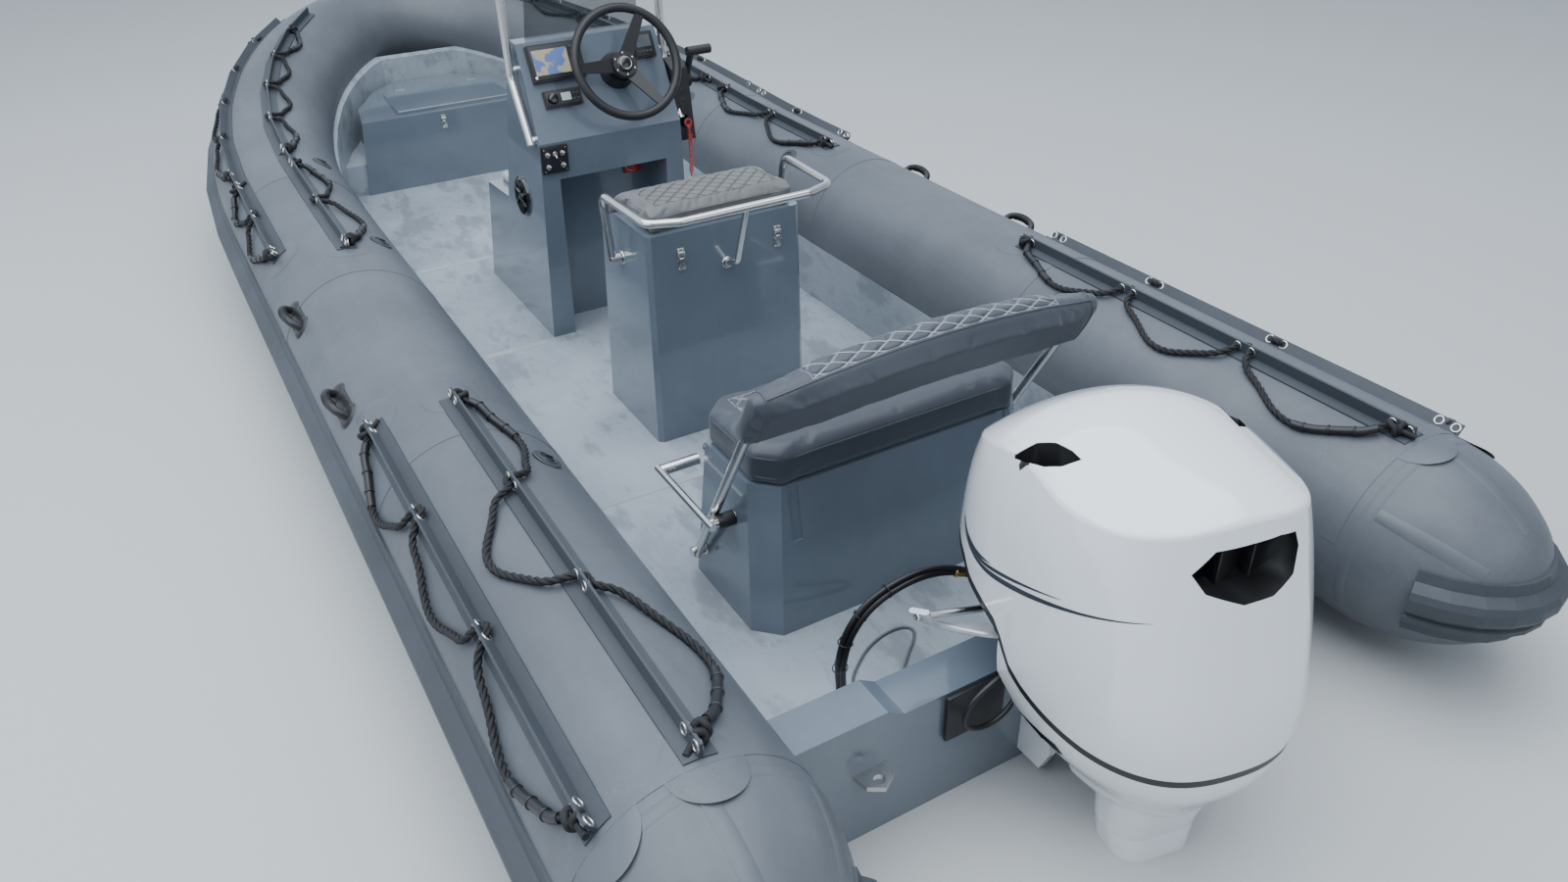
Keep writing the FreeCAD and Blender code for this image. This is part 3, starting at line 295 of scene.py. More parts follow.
@dataclass(frozen=True)
class Finish:
    """A surface finish, built once as a material."""

    name: str
    colour: Colour
    roughness: float = 0.5
    metallic: float = 0.0
    coat: float = 0.0
    mottle: float = 0.08
    mottle_scale: float = 6.0
    grain: float = 0.0
    grain_scale: float = 400.0
    slot: str = "black_plastic"

    def material(self) -> bpy.types.Material:
        """Return the finish's material, made the first time."""
        known = bpy.data.materials.get(self.name)
        return known or self.build().material

    def build(self) -> Shader:
        """Make the material.

        Returns:
            The shader, for a subclass to add to.
        """
        shader = Shader(self.name)
        shader.set(Metallic=self.metallic, Roughness=self.roughness)
        if self.coat:
            shader.set(Coat_Weight=self.coat, Coat_Roughness=0.06)
        self.pattern(shader)
        return shader

    def pattern(self, shader: Shader) -> None:
        """Add the colour's slow change and the fine grain.

        Args:
            shader: The shader to finish.
        """
        cloud = shader.noise(self.mottle_scale, 5.0, 0.6)
        dark, light = shaded(self.colour, 1 - self.mottle), shaded(self.colour, 1 + self.mottle)
        shader.set(Base_Color=shader.blend(cloud, dark, light))
        shader.set(Roughness=cloud * 0.12 + (self.roughness - 0.06))
        if self.grain:
            shader.set(Normal=shader.bump(shader.noise(self.grain_scale, 3.0, 0.6), self.grain, 0.0006))


@dataclass(frozen=True)
class TubeFabric(Finish):
    """Coated collar fabric: a fine matt grain, faint handling marks and dried spray."""

    def pattern(self, shader: Shader) -> None:
        """Add grain, scuffs and dried drops.

        Args:
            shader: The shader to finish.
        """
        cloud = shader.noise(2.3, 6.0, 0.62)
        fine = shader.noise(38.0, 5.0, 0.7)
        streak = shader.noise(5.0, 4.0, 0.6, shader.stretch((0.35, 3.0, 3.0)))
        drops = shader.cells(95.0)
        sparse = shader.noise(7.0, 2.0)
        spot = drops.ramp(0.20, 0.12) * sparse.ramp(0.52, 0.64)
        tone = (cloud * 0.7 + fine * 0.15 + streak * 0.25).ramp(0.35, 0.8)
        base = shader.blend(tone, shaded(self.colour, 0.84), shaded(self.colour, 1.2))
        shader.set(Base_Color=shader.blend(spot * 0.35, base, shaded(self.colour, 1.9)))
        shader.set(Roughness=self.roughness + 0.10 * (1 - tone) - 0.10 * spot)
        weave = shader.noise(900.0, 2.0, 0.5)
        wrinkle = shader.noise(9.0, 3.0, 0.55)
        low = shader.bump(wrinkle, 0.10, 0.004)
        shader.set(Normal=shader.bump(weave, 0.12, 0.0005, low))


@dataclass(frozen=True)
class DeckGrip(Finish):
    """Moulded deck: raised grip with wet streaks and worn light patches."""

    def pattern(self, shader: Shader) -> None:
        """Add the grip's pebbles and the marbled wet and dry patches.

        Args:
            shader: The shader to finish.
        """
        swirl = shader.noise(7.0, 9.0, 0.68, shader.stretch((0.6, 1.3, 1.0)))
        broad = shader.noise(1.6, 4.0, 0.6)
        veins = abs(swirl - 0.5).ramp(0.10, 0.0)
        dry = (broad * 0.6 + swirl * 0.5).ramp(0.45, 0.70)
        base = shader.blend(dry, shaded(self.colour, 0.78), shaded(self.colour, 1.28))
        shader.set(Base_Color=shader.blend(veins * 0.35, base, shaded(self.colour, 1.5)))
        shader.set(Roughness=dry * 0.30 + 0.28)
        pebble = shader.cells(260.0)
        shader.set(Normal=shader.bump(pebble, 0.35, 0.0012))


@dataclass(frozen=True)
class Gelcoat(Finish):
    """Polished moulding with a clear top, slightly wavy, with faint run marks."""

    def pattern(self, shader: Shader) -> None:
        """Add the slow waves and the faint marks of water.

        Args:
            shader: The shader to finish.
        """
        cloud = shader.noise(3.0, 5.0, 0.6)
        runs = shader.noise(6.0, 5.0, 0.65, shader.stretch((6.0, 6.0, 0.6)))
        tone = (cloud * 0.85 + runs * 0.15).ramp(0.3, 0.75)
        shader.set(Base_Color=shader.blend(tone, shaded(self.colour, 0.92), shaded(self.colour, 1.09)))
        shader.set(Roughness=self.roughness + 0.03 * runs.ramp(0.45, 0.7))
        shader.set(Normal=shader.bump(shader.noise(4.5, 2.0, 0.4), 0.12, 0.01))


@dataclass(frozen=True)
class BrushedSteel(Finish):
    """Polished tube with drawn lines and water spots."""

    def pattern(self, shader: Shader) -> None:
        """Add drawn lines and spots.

        Args:
            shader: The shader to finish.
        """
        lines = shader.noise(60.0, 4.0, 0.6, shader.stretch((1.0, 8.0, 8.0)))
        spots = shader.noise(22.0, 4.0, 0.6)
        shader.set(Base_Color=shader.blend(spots, shaded(self.colour, 0.86), shaded(self.colour, 1.08)))
        shader.set(Roughness=self.roughness + 0.14 * lines * spots)


@dataclass(frozen=True)
class Hide(Finish):
    """Coated upholstery cloth: pebbled grain with creases."""

    def pattern(self, shader: Shader) -> None:
        """Add grain, creases and a soft change of tone.

        Args:
            shader: The shader to finish.
        """
        cloud = shader.noise(6.0, 5.0, 0.6)
        base = shader.blend(cloud, shaded(self.colour, 0.85), shaded(self.colour, 1.2))
        shader.set(Base_Color=base, Sheen_Weight=0.15, Sheen_Roughness=0.5)
        shader.set(Roughness=self.roughness + 0.12 * cloud)
        crease = shader.bump(shader.noise(16.0, 4.0, 0.6), 0.18, 0.003)
        shader.set(Normal=shader.bump(shader.cells(750.0), 0.22, 0.0008, crease))


@dataclass(frozen=True)
class Sheetglass(Finish):
    """Tinted clear sheet."""

    def build(self) -> Shader:
        """Make the see-through material.

        Returns:
            The shader.
        """
        shader = super().build()
        shader.set(Alpha=0.42, IOR=1.49)
        return shader


@dataclass(frozen=True)
class Screen(Finish):
    """A lit screen: soft patches of two colours under glass."""

    second: Colour = (0.36, 0.30, 0.22)

    def pattern(self, shader: Shader) -> None:
        """Mix the patches and make them glow faintly.

        Args:
            shader: The shader to finish.
        """
        patches = shader.noise(16.0, 3.0, 0.5).ramp(0.47, 0.53)
        colour = shader.blend(patches, self.colour, self.second)
        shader.set(Base_Color=colour, Emission_Color=colour, Emission_Strength=0.25, Roughness=self.roughness)


COLLAR = TubeFabric("collar_fabric", (0.100, 0.111, 0.127), roughness=0.40, slot="tube_fabric")
STRAKE = TubeFabric("strake_fabric", (0.044, 0.052, 0.063), roughness=0.5, slot="strake_rubber")
GELCOAT = Gelcoat("gelcoat_grey", (0.128, 0.156, 0.192), roughness=0.16, coat=1.0, slot="gelcoat")
DECK = DeckGrip("deck_grip", (0.280, 0.315, 0.350), roughness=0.34, slot="deck_gelcoat")
STEEL = BrushedSteel("rail_steel", (0.72, 0.71, 0.69), roughness=0.16, metallic=1.0, slot="stainless")
NAVY = Hide("navy_hide", (0.040, 0.048, 0.063), roughness=0.34, slot="navy_vinyl")
TAUPE = Hide("taupe_hide", (0.115, 0.116, 0.117), roughness=0.42, slot="taupe_vinyl")
WHITE = Finish(
    "white_paint", (0.80, 0.82, 0.845), roughness=0.16, coat=1.0, mottle=0.02, mottle_scale=2.0, slot="motor_paint",
)
BLACK = Finish("black_moulding", (0.014, 0.014, 0.016), roughness=0.42, mottle=0.2, grain=0.25, grain_scale=700.0)
GLOSS = Finish("black_gloss", (0.006, 0.006, 0.007), roughness=0.12, coat=0.5, mottle=0.1)
SEAL = Finish("seal_rubber", (0.008, 0.008, 0.009), roughness=0.4, mottle=0.2, slot="seal_rubber")
PROP = Finish("propeller_paint", (0.02, 0.02, 0.022), roughness=0.25, coat=0.4, slot="propeller_paint")
TINT = Sheetglass("screen_tint", (0.05, 0.06, 0.065), roughness=0.05, mottle=0.05, slot="tinted_sheet")
ROPE = Finish(
    "black_rope", (0.012, 0.012, 0.014), roughness=0.75, mottle=0.35, mottle_scale=60.0, grain=0.5, grain_scale=900.0,
    slot="strake_rubber",
)
TAPE = Finish(
    "rope_tape", (0.014, 0.014, 0.016), roughness=0.38, mottle=0.25, mottle_scale=40.0, grain=0.3, grain_scale=160.0,
    slot="strake_rubber",
)
THREAD = Finish("white_thread", (0.40, 0.42, 0.45), roughness=0.6, slot="navy_vinyl")
TAUPE_THREAD = Finish("taupe_thread", (0.10, 0.095, 0.09), roughness=0.6, slot="taupe_vinyl")
PALE_HIDE = Hide("pale_hide", (0.42, 0.43, 0.44), roughness=0.42, slot="taupe_vinyl")
PALE = Finish("pale_print", (0.70, 0.70, 0.70), roughness=0.45)
KEYS = Finish("key_rubber", (0.045, 0.047, 0.052), roughness=0.5)
RED = Finish("red_moulding", (0.42, 0.018, 0.016), roughness=0.35, coat=0.2)
BRASS = Finish("brass", (0.62, 0.42, 0.14), roughness=0.25, metallic=1.0, slot="stainless")
HOSE = Finish("hose_rubber", (0.010, 0.010, 0.011), roughness=0.38, mottle=0.2, slot="seal_rubber")
CABLE = Finish("cable_grey", (0.10, 0.12, 0.135), roughness=0.5, slot="seal_rubber")
CASTING = Finish(
    "cast_aluminium", (0.56, 0.58, 0.60), roughness=0.34, metallic=0.5, grain=0.2, grain_scale=220.0,
    slot="stainless",
)
# Near-black painted shade for the cowl's pockets; the vent fins share this near-black.
SHADE_AND_FIN_BLACK = Finish("shade_and_fin_black", (0.007, 0.007, 0.008), roughness=0.5)
DARK_STRIPE = Finish("stripe_charcoal", (0.030, 0.036, 0.046), roughness=0.35)
TAB = Finish("tab_grey", (0.075, 0.085, 0.095), roughness=0.5, slot="taupe_vinyl")
STRIP = Gelcoat("strip_gelcoat", (0.34, 0.37, 0.395), roughness=0.25, coat=0.4, slot="deck_gelcoat")
CHART = Screen("chart_screen", (0.10, 0.16, 0.34), roughness=0.12)
LCD = Screen("radio_lcd", (0.34, 0.40, 0.42), roughness=0.15, second=(0.40, 0.46, 0.48))
DIM = Screen("gauge_lcd", (0.10, 0.11, 0.12), roughness=0.15, second=(0.13, 0.14, 0.15))
STUDIO = Finish("studio_floor", (0.52, 0.53, 0.53), roughness=0.75, mottle=0.01, mottle_scale=1.0)

NODE_FINISHES: dict[str, Finish] = {
    finish.slot: finish
    for finish in (COLLAR, STRAKE, GELCOAT, DECK, STEEL, NAVY, TAUPE, TINT, BLACK, WHITE, SEAL, PROP)
}


# ---------------------------------------------------------------- mesh making


def facing(place: Spot, normal: Spot, up: Spot = (0.0, 0.0, 1.0)) -> Matrix:
    """Return the matrix that stands a form on a surface.

    Args:
        place: Where the form's origin goes.
        normal: Where its +Z points.
        up: Where its +Y leans.

    Returns:
        The matrix.
    """
    z = Vector(normal).normalized()
    x = Vector(up).cross(z).normalized()
    return Matrix.Translation(Vector(place)) @ Matrix((x, z.cross(x), z)).transposed().to_4x4()


def at(x: float, y: float, z: float) -> Matrix:
    """Return the matrix that moves a form."""
    return Matrix.Translation((x, y, z))


def smooth_path(points: Sequence[Spot], detail: int) -> list[Vector]:
    """Sample the smooth spline of a cord's route.

    Args:
        points: The route's control points.
        detail: Samples a control point.

    Returns:
        The points along the spline.
    """
    data = bpy.data.curves.new("route", "CURVE")
    data.dimensions = "3D"
    data.resolution_u = detail
    spline = data.splines.new("NURBS")
    spline.points.add(len(points) - 1)
    for point, place in zip(spline.points, points):
        point.co = (*place, 1.0)
    spline.order_u = 3
    spline.use_endpoint_u = True
    holder = bpy.data.objects.new("route", data)
    mesh = bpy.data.meshes.new_from_object(holder)
    line = [vertex.co.copy() for vertex in mesh.vertices]
    bpy.data.objects.remove(holder)
    bpy.data.curves.remove(data)
    bpy.data.meshes.remove(mesh)
    return line


def run_length(line: Sequence[Vector]) -> float:
    """Return the length of a line of points."""
    return sum((b - a).length for a, b in zip(line, line[1:]))


def lay_cord(
    made: bpy.types.Object, line: Sequence[Vector]
) -> None:
    """Work out the length of a cord's line; the result is not kept.

    Args:
        made: The cord's piece; not used.
        line: The points along its middle.
    """
    round(run_length(line), 3)


class Former:
    """A mesh that grows by operators, then becomes a piece."""

    def __init__(self) -> None:
        """Start with an empty mesh."""
        self.shape = bmesh.new()

    def bevelled(self, verts: Iterable[Any], offset: float, segments: int, limit: float = 25.0) -> None:
        """Bevel the sharp edges among some vertices.

        Args:
            verts: The vertices.
            offset: The bevel's width; nothing is done at 0.
            segments: The bevel's steps.
            limit: The least edge angle in degrees.
        """
        if offset <= 0:
            return
        picked = set(verts)
        edges = [
            e
            for e in self.shape.edges
            if e.verts[0] in picked and e.verts[1] in picked and e.calc_face_angle(0.0) > math.radians(limit)
        ]
        bmesh.ops.bevel(
            self.shape, geom=edges, offset=offset, segments=segments, affect="EDGES", profile=0.5, material=-1,
            clamp_overlap=True,
        )

    def box(self, size: Point, where: Matrix, bevel: float = 0.002, segments: int = 3) -> "Former":
        """Add a box with softened edges, standing on its base.

        Args:
            size: Its sides.
            where: Its place, from the middle of its base.
            bevel: The softening.
            segments: The softening's steps.

        Returns:
            This former.
        """
        matrix = where @ Matrix.Translation((0, 0, size[2] / 2)) @ Matrix.Diagonal((*size, 1.0))
        made = bmesh.ops.create_cube(self.shape, size=1.0, matrix=matrix)
        self.bevelled(made["verts"], bevel, segments)
        return self

    def drum(
        self, low: float, high: float, height: float, where: Matrix, bevel: float = 0.001, sides: int = 32
    ) -> "Former":
        """Add a round form on its base, with a low and a high radius.

        Args:
            low: The radius at the base.
            high: The radius at the top.
            height: Its height.
            where: Its place.
            bevel: The softening of its rims.
            sides: Its sides.

        Returns:
            This former.
        """
        made = bmesh.ops.create_cone(
            self.shape, cap_ends=True, segments=sides, radius1=low, radius2=max(high, 0.0004), depth=height,
            matrix=where @ Matrix.Translation((0, 0, height / 2)),
        )
        self.bevelled(made["verts"], bevel, 2, 40.0)
        return self

    def ring(self, major: float, minor: float, where: Matrix, squash: float = 1.0, steps: int = 40) -> "Former":
        """Add a round ring about the local Z.

        Args:
            major: The radius to the wire's middle.
            minor: The wire's radius.
            where: Its place.
            squash: The share of the ring's width in local Y.
            steps: Steps round it.

        Returns:
            This former.
        """
        part = bmesh.new()
        turn = Matrix.Translation((major, 0, 0)) @ Matrix.Rotation(math.pi / 2, 4, "X")
        bmesh.ops.create_circle(part, segments=10, radius=minor, matrix=turn)
        return self.spun(part, where @ Matrix.Diagonal((1, squash, 1, 1)), steps)

    def lathe(self, rows: Sequence[tuple[float, float]], where: Matrix) -> "Former":
        """Spin rows of (radius, height) about the local Z.

        Args:
            rows: The profile, from the axis outward or closed on it.
            where: Its place.

        Returns:
            This former.
        """
        part = bmesh.new()
        verts = [part.verts.new((r, 0.0, z)) for r, z in rows]
        for a, b in zip(verts, verts[1:]):
            part.edges.new((a, b))
        return self.spun(part, where, 48)

    def spun(self, part: bmesh.types.BMesh, where: Matrix, steps: int) -> "Former":
        """Turn a profile once about the local Z and add what it sweeps.

        Args:
            part: The profile's edges; the mesh is used up.
            where: The place of the result.
            steps: Steps round it.

        Returns:
            This former.
        """
        bmesh.ops.spin(
            part, geom=part.edges[:], cent=(0, 0, 0), axis=(0, 0, 1), angle=FULL_TURN, steps=steps, use_merge=True,
        )
        bmesh.ops.remove_doubles(part, verts=part.verts, dist=MERGE_FINE)
        bmesh.ops.recalc_face_normals(part, faces=part.faces)
        bmesh.ops.transform(part, matrix=where, verts=part.verts)
        return self.take(part)

    def plate(self, outline: Sequence[tuple[float, float]], depth: float, where: Matrix, bevel: float) -> "Former":
        """Add a flat plate cut to an outline and raised along the local Z.

        Args:
            outline: The (x, y) corners.
            depth: Its thickness.
            where: Its place.
            bevel: The softening of its edges.

        Returns:
            This former.
        """
        part = bmesh.new()
        face = part.faces.new([part.verts.new((x, y, 0.0)) for x, y in outline])
        top = bmesh.ops.extrude_face_region(part, geom=[face])
        raised = [v for v in top["geom"] if isinstance(v, bmesh.types.BMVert)]
        bmesh.ops.translate(part, vec=(0, 0, depth), verts=raised)
        bmesh.ops.recalc_face_normals(part, faces=part.faces)
        bmesh.ops.transform(part, matrix=where, verts=part.verts)
        before = len(self.shape.verts)
        self.take(part)
        self.shape.verts.ensure_lookup_table()
        self.bevelled(self.shape.verts[before:], bevel, 2)
        return self

    def pipe(
        self, points: Sequence[Spot], radius: float, closed: bool = False, sides: int = 3, smooth: bool = True
    ) -> "Former":
        """Add a round tube along a line.

        Args:
            points: The line's points.
            radius: The tube's radius.
            closed: Whether it joins its own start.
            sides: A quarter of its sides, less one.
            smooth: Whether the line is a spline or straight runs.

        Returns:
            This former.
        """
        data = bpy.data.curves.new("pipe", "CURVE")
        data.dimensions = "3D"
        data.resolution_u = 6
        data.bevel_depth = radius
        data.bevel_resolution = sides
        data.use_fill_caps = not closed
        spline = data.splines.new("NURBS" if smooth else "POLY")
        spline.points.add(len(points) - 1)
        for point, place in zip(spline.points, points):
            point.co = (*place, 1.0)
        spline.use_cyclic_u = closed
        if smooth:
            spline.order_u = 3
            spline.use_endpoint_u = not closed
        holder = bpy.data.objects.new("pipe", data)
        mesh = bpy.data.meshes.new_from_object(holder)
        self.shape.from_mesh(mesh)
        bpy.data.objects.remove(holder)
        bpy.data.curves.remove(data)
        bpy.data.meshes.remove(mesh)
        return self

    def take(self, part: bmesh.types.BMesh) -> "Former":
        """Add another mesh and free it.

        Args:
            part: The mesh.

        Returns:
            This former.
        """
        mesh = bpy.data.meshes.new("part")
        part.to_mesh(mesh)
        part.free()
        self.shape.from_mesh(mesh)
        bpy.data.meshes.remove(mesh)
        return self

    def piece(
        self, name: str, finish: Finish, body: str = "boat", sharp: float = 32.0
    ) -> bpy.types.Object:
        """Finish the mesh as a piece that rides on a body.

        Args:
            name: The piece's name.
            finish: Its finish.
            body: The body that it rides on, or nothing to leave it unattached.
            sharp: The edge angle above which shading stays sharp.

        Returns:
            The object.
        """
        mesh = bpy.data.meshes.new(name)
        self.shape.to_mesh(mesh)
        self.shape.free()
        mesh.materials.append(finish.material())
        mesh.shade_smooth()
        mesh.set_sharp_from_angle(angle=math.radians(sharp))
        made = bpy.data.objects.new(name, mesh)
        bpy.context.collection.objects.link(made)
        if body:
            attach(made, body)
        log.info("%s: %d faces", name, len(mesh.polygons))
        return made


# ---------------------------------------------------------------- collar


@dataclass(frozen=True)
class CollarForm:
    """The air collar's centre line and radius, as the solids have them.

    A run says how far along a point is: metres of X on the straight part, and round the bow CURVE plus the degrees
    from the curve's start.
    """

    CURVE = 100.0
    STRAIGHT_STEP = 0.01
    CURVE_STEP = 0.5

    radius: float = 0.25
    spacing: float = 0.95
    height: float = 0.29
    rise_start: float = 0.30
    curve_start: float = 0.90
    nose: float = 2.765
    rise: float = 0.30
    slimming: float = 0.035

    def centre(self, run: float) -> tuple[Vector, float]:
        """Return where the tube's middle is.

        Args:
            run: The station.

        Returns:
            The centre on the port side and the radius.
        """
        if run <= self.curve_start:
            x, y = run, self.spacing
        else:
            a = math.radians(run - self.CURVE)
            x = self.curve_start + (self.nose - self.curve_start) * math.sin(a)
            y = self.spacing * math.cos(a)
        share = max(0.0, (x - self.rise_start) / (self.nose - self.rise_start))
        return Vector((x, y, self.height + self.rise * share**2)), self.radius - self.slimming * share**2

    def point(self, run: float, angle: float, lift: float = 0.0, side: int = 1) -> Point:
        """Return a point on the tube.

        Args:
            run: The station.
            angle: Degrees up from the outboard side.
            lift: How far off the fabric.
            side: 1 for port, -1 for starboard.

        Returns:
            The point.
        """
        middle, radius = self.centre(run)
        step = self.STRAIGHT_STEP if run <= self.curve_start else self.CURVE_STEP
        along = (self.centre(run + step)[0] - self.centre(run - step)[0]).normalized()
        out = -along.cross(Vector((0, 0, 1))).normalized()
        up = out.cross(along).normalized()
        if up.z < 0:
            up = -up
        a = math.radians(angle)
        place = middle + out * ((radius + lift) * math.cos(a)) + up * ((radius + lift) * math.sin(a))
        return (place.x, side * place.y, place.z)


TUBE = CollarForm()


@dataclass
class GrabLine:
    """A rope through paired eyelets in one standing flap, with taped and knotted ends.

    BAY has, for each point between two eyelets, the share of the way, how far it stands off the web before the fall,
    the share of the fall and the lift off the fabric.
    """

    EYELET_OFF = 0.012
    LEAVE_OFF = 0.030
    BACK_OFF = 0.013
    WEB_LIFT = 0.020
    BAY = (
        (0.10, LEAVE_OFF, 0.18, 0.006),
        (0.26, 0.0, 0.62, 0.0),
        (0.45, 0.0, 0.97, 0.0),
        (0.62, 0.0, 1.0, 0.0),
        (0.80, 0.0, 0.66, 0.0),
        (0.92, LEAVE_OFF, 0.20, 0.006),
    )
    SAMPLE = 0.0095
    LAY = 0.062
    LEAN = (0.3, 0.2, 0.9)

    name: str
    side: int
    eyes: Sequence[float]
    falls: Sequence[float]
    inboard: bool
    thickness: float = 0.017

    @property
    def angle(self) -> float:
        """Return the flap's tube angle in degrees."""
        return 96.0 if self.inboard else 50.0

    @property
    def gap(self) -> float:
        """Return half the distance between an eyelet pair's rings, as a run."""
        return 0.7 if self.eyes[0] >= TUBE.CURVE else 0.022

    def sideways(self, offset: float) -> float:
        """Return the tube angle moved by metres toward the rope's side of the web."""
        turn = math.degrees(offset / TUBE.radius)
        return self.angle + (turn if self.inboard else -turn)

    def route(self) -> list[Point]:
        """Lead the rope from eyelet to eyelet, a hanging bay between each two.

        Returns:
            The rope's control points.
        """
        places: list[Point] = []

        def add(run: float, offset: float, lift: float) -> None:
            """Add a point at a distance from the web."""
            places.append(TUBE.point(run, self.sideways(offset), lift, self.side))

        gap, out = self.gap, self.EYELET_OFF
        first, last = self.eyes[0], self.eyes[-1]
        sign = 1.0 if last > first else -1.0
        lie = self.thickness / 2 + 0.0015
        add(first, out, self.WEB_LIFT)
        for index, (a, b) in enumerate(zip(self.eyes, self.eyes[1:])):
            fall = self.falls[index]
            way = 1.0 if fall > 0 else -1.0
            add(a + sign * gap, out * way, self.WEB_LIFT)
            for share, offset, fallen, lift in self.BAY:
                add(a + (b - a) * share, offset * way + fall * fallen, lie + lift)
            add(b - sign * gap, out * way, self.WEB_LIFT)
            if index < len(self.eyes) - 2:
                add(b - sign * gap * 0.6, -self.BACK_OFF * way, self.WEB_LIFT)
                add(b + sign * gap * 0.6, -self.BACK_OFF * way, self.WEB_LIFT)
        add(last, out, self.WEB_LIFT)
        return places

    def build(self) -> None:
        """Make the rope, its wraps and knots, and the eyelets."""
        line = smooth_path(self.route(), 10)
        rope = Former()
        strand = self.thickness * 0.27
        run, travelled = [], 0.0
        for index, place in enumerate(line):
            if index:
                travelled += (place - line[index - 1]).length
            run.append(travelled)
        steps = int(run[-1] / self.SAMPLE)
        fine: list[Vector] = []
        cursor = 0
        for k in range(steps + 1):
            want = run[-1] * k / steps
            while cursor < len(run) - 2 and run[cursor + 1] < want:
                cursor += 1
            share = (want - run[cursor]) / max(1e-9, run[cursor + 1] - run[cursor])
            fine.append(line[cursor].lerp(line[cursor + 1], max(0.0, min(1.0, share))))
        for phase in (0.0, FULL_TURN / 3, 2 * FULL_TURN / 3):
            spiral: list[Vector] = []
            frame_out = Vector((0, 0, 1))
            for k, place in enumerate(fine):
                along = (fine[min(k + 1, steps)] - fine[max(k - 1, 0)]).normalized()
                frame_out = (frame_out - along * frame_out.dot(along)).normalized()
                across = along.cross(frame_out)
                a = phase + FULL_TURN * (run[-1] * k / steps) / self.LAY
                spiral.append(place + (frame_out * math.cos(a) + across * math.sin(a)) * strand * 1.06)
            rope.pipe(spiral, strand, sides=1, smooth=False)
        made = rope.piece(self.name, ROPE, sharp=60.0)
        lay_cord(made, line)
        self.wraps(fine)
        self.eyelets()

    def wraps(self, fine: Sequence[Vector]) -> None:
        """Tape the rope near both ends and tie a knot at each.

        Args:
            fine: Even samples of the rope's line.
        """
        tape, knot = Former(), Former()
        count = len(fine)
        for ends in (fine[4:26], fine[count - 26 : count - 4]):
            swell = [p + Vector((0, 0, 0.0006 * math.sin(i * 1.9))) for i, p in enumerate(ends)]
            tape.pipe(swell[::2], self.thickness * 0.62)
            for spot in (3, 9, 15):
                where = facing(ends[spot], (ends[spot + 1] - ends[spot]).normalized(), self.LEAN)
                tape.ring(self.thickness * 0.58, 0.0032, where, 1.0, 20)
        for place, other in ((fine[0], fine[5]), (fine[-1], fine[-6])):
            axis = (other - place).normalized()
            base = facing(place, axis, self.LEAN)
            loops = []
            for k in range(22):
                a = FULL_TURN * k / 22 * 3.0
                wide = 0.0135 + 0.003 * math.sin(a * 0.66)
                high = 0.012 * math.sin(a * 0.5 + 0.6) + 0.004 * (k % 3)
                loops.append(base @ Vector((wide * math.cos(a), wide * math.sin(a), high)))
            knot.pipe(loops, self.thickness * 0.40)
            tail = ((0.004, 0, 0), (0.012, -0.010, -0.016), (0.020, -0.016, -0.034))
            knot.pipe([base @ Vector(v) for v in tail], self.thickness * 0.40)
        tape.piece(self.name + "_tape", TAPE, sharp=50.0)
        knot.piece(self.name + "_knots", ROPE, sharp=50.0)

    def eyelets(self) -> None:
        """Press a ring into both faces of the web at each eyelet."""
        rings = Former()
        for run in self.eyes:
            for shift in (-self.gap, self.gap):
                here = Vector(TUBE.point(run + shift, self.angle, 0.019, self.side))
                left = Vector(TUBE.point(run + shift, self.angle + 2.0, 0.019, self.side))
                normal = (left - here).normalized()
                up = (here - Vector(TUBE.point(run + shift, self.angle, -0.05, self.side))).normalized()
                for face in (-1, 1):
                    where = facing(here + normal * 0.0034 * face, normal, up)
                    rings.ring(0.0105, 0.0026, where, 1.0, 24)
        rings.piece(self.name + "_eyelets", STEEL)


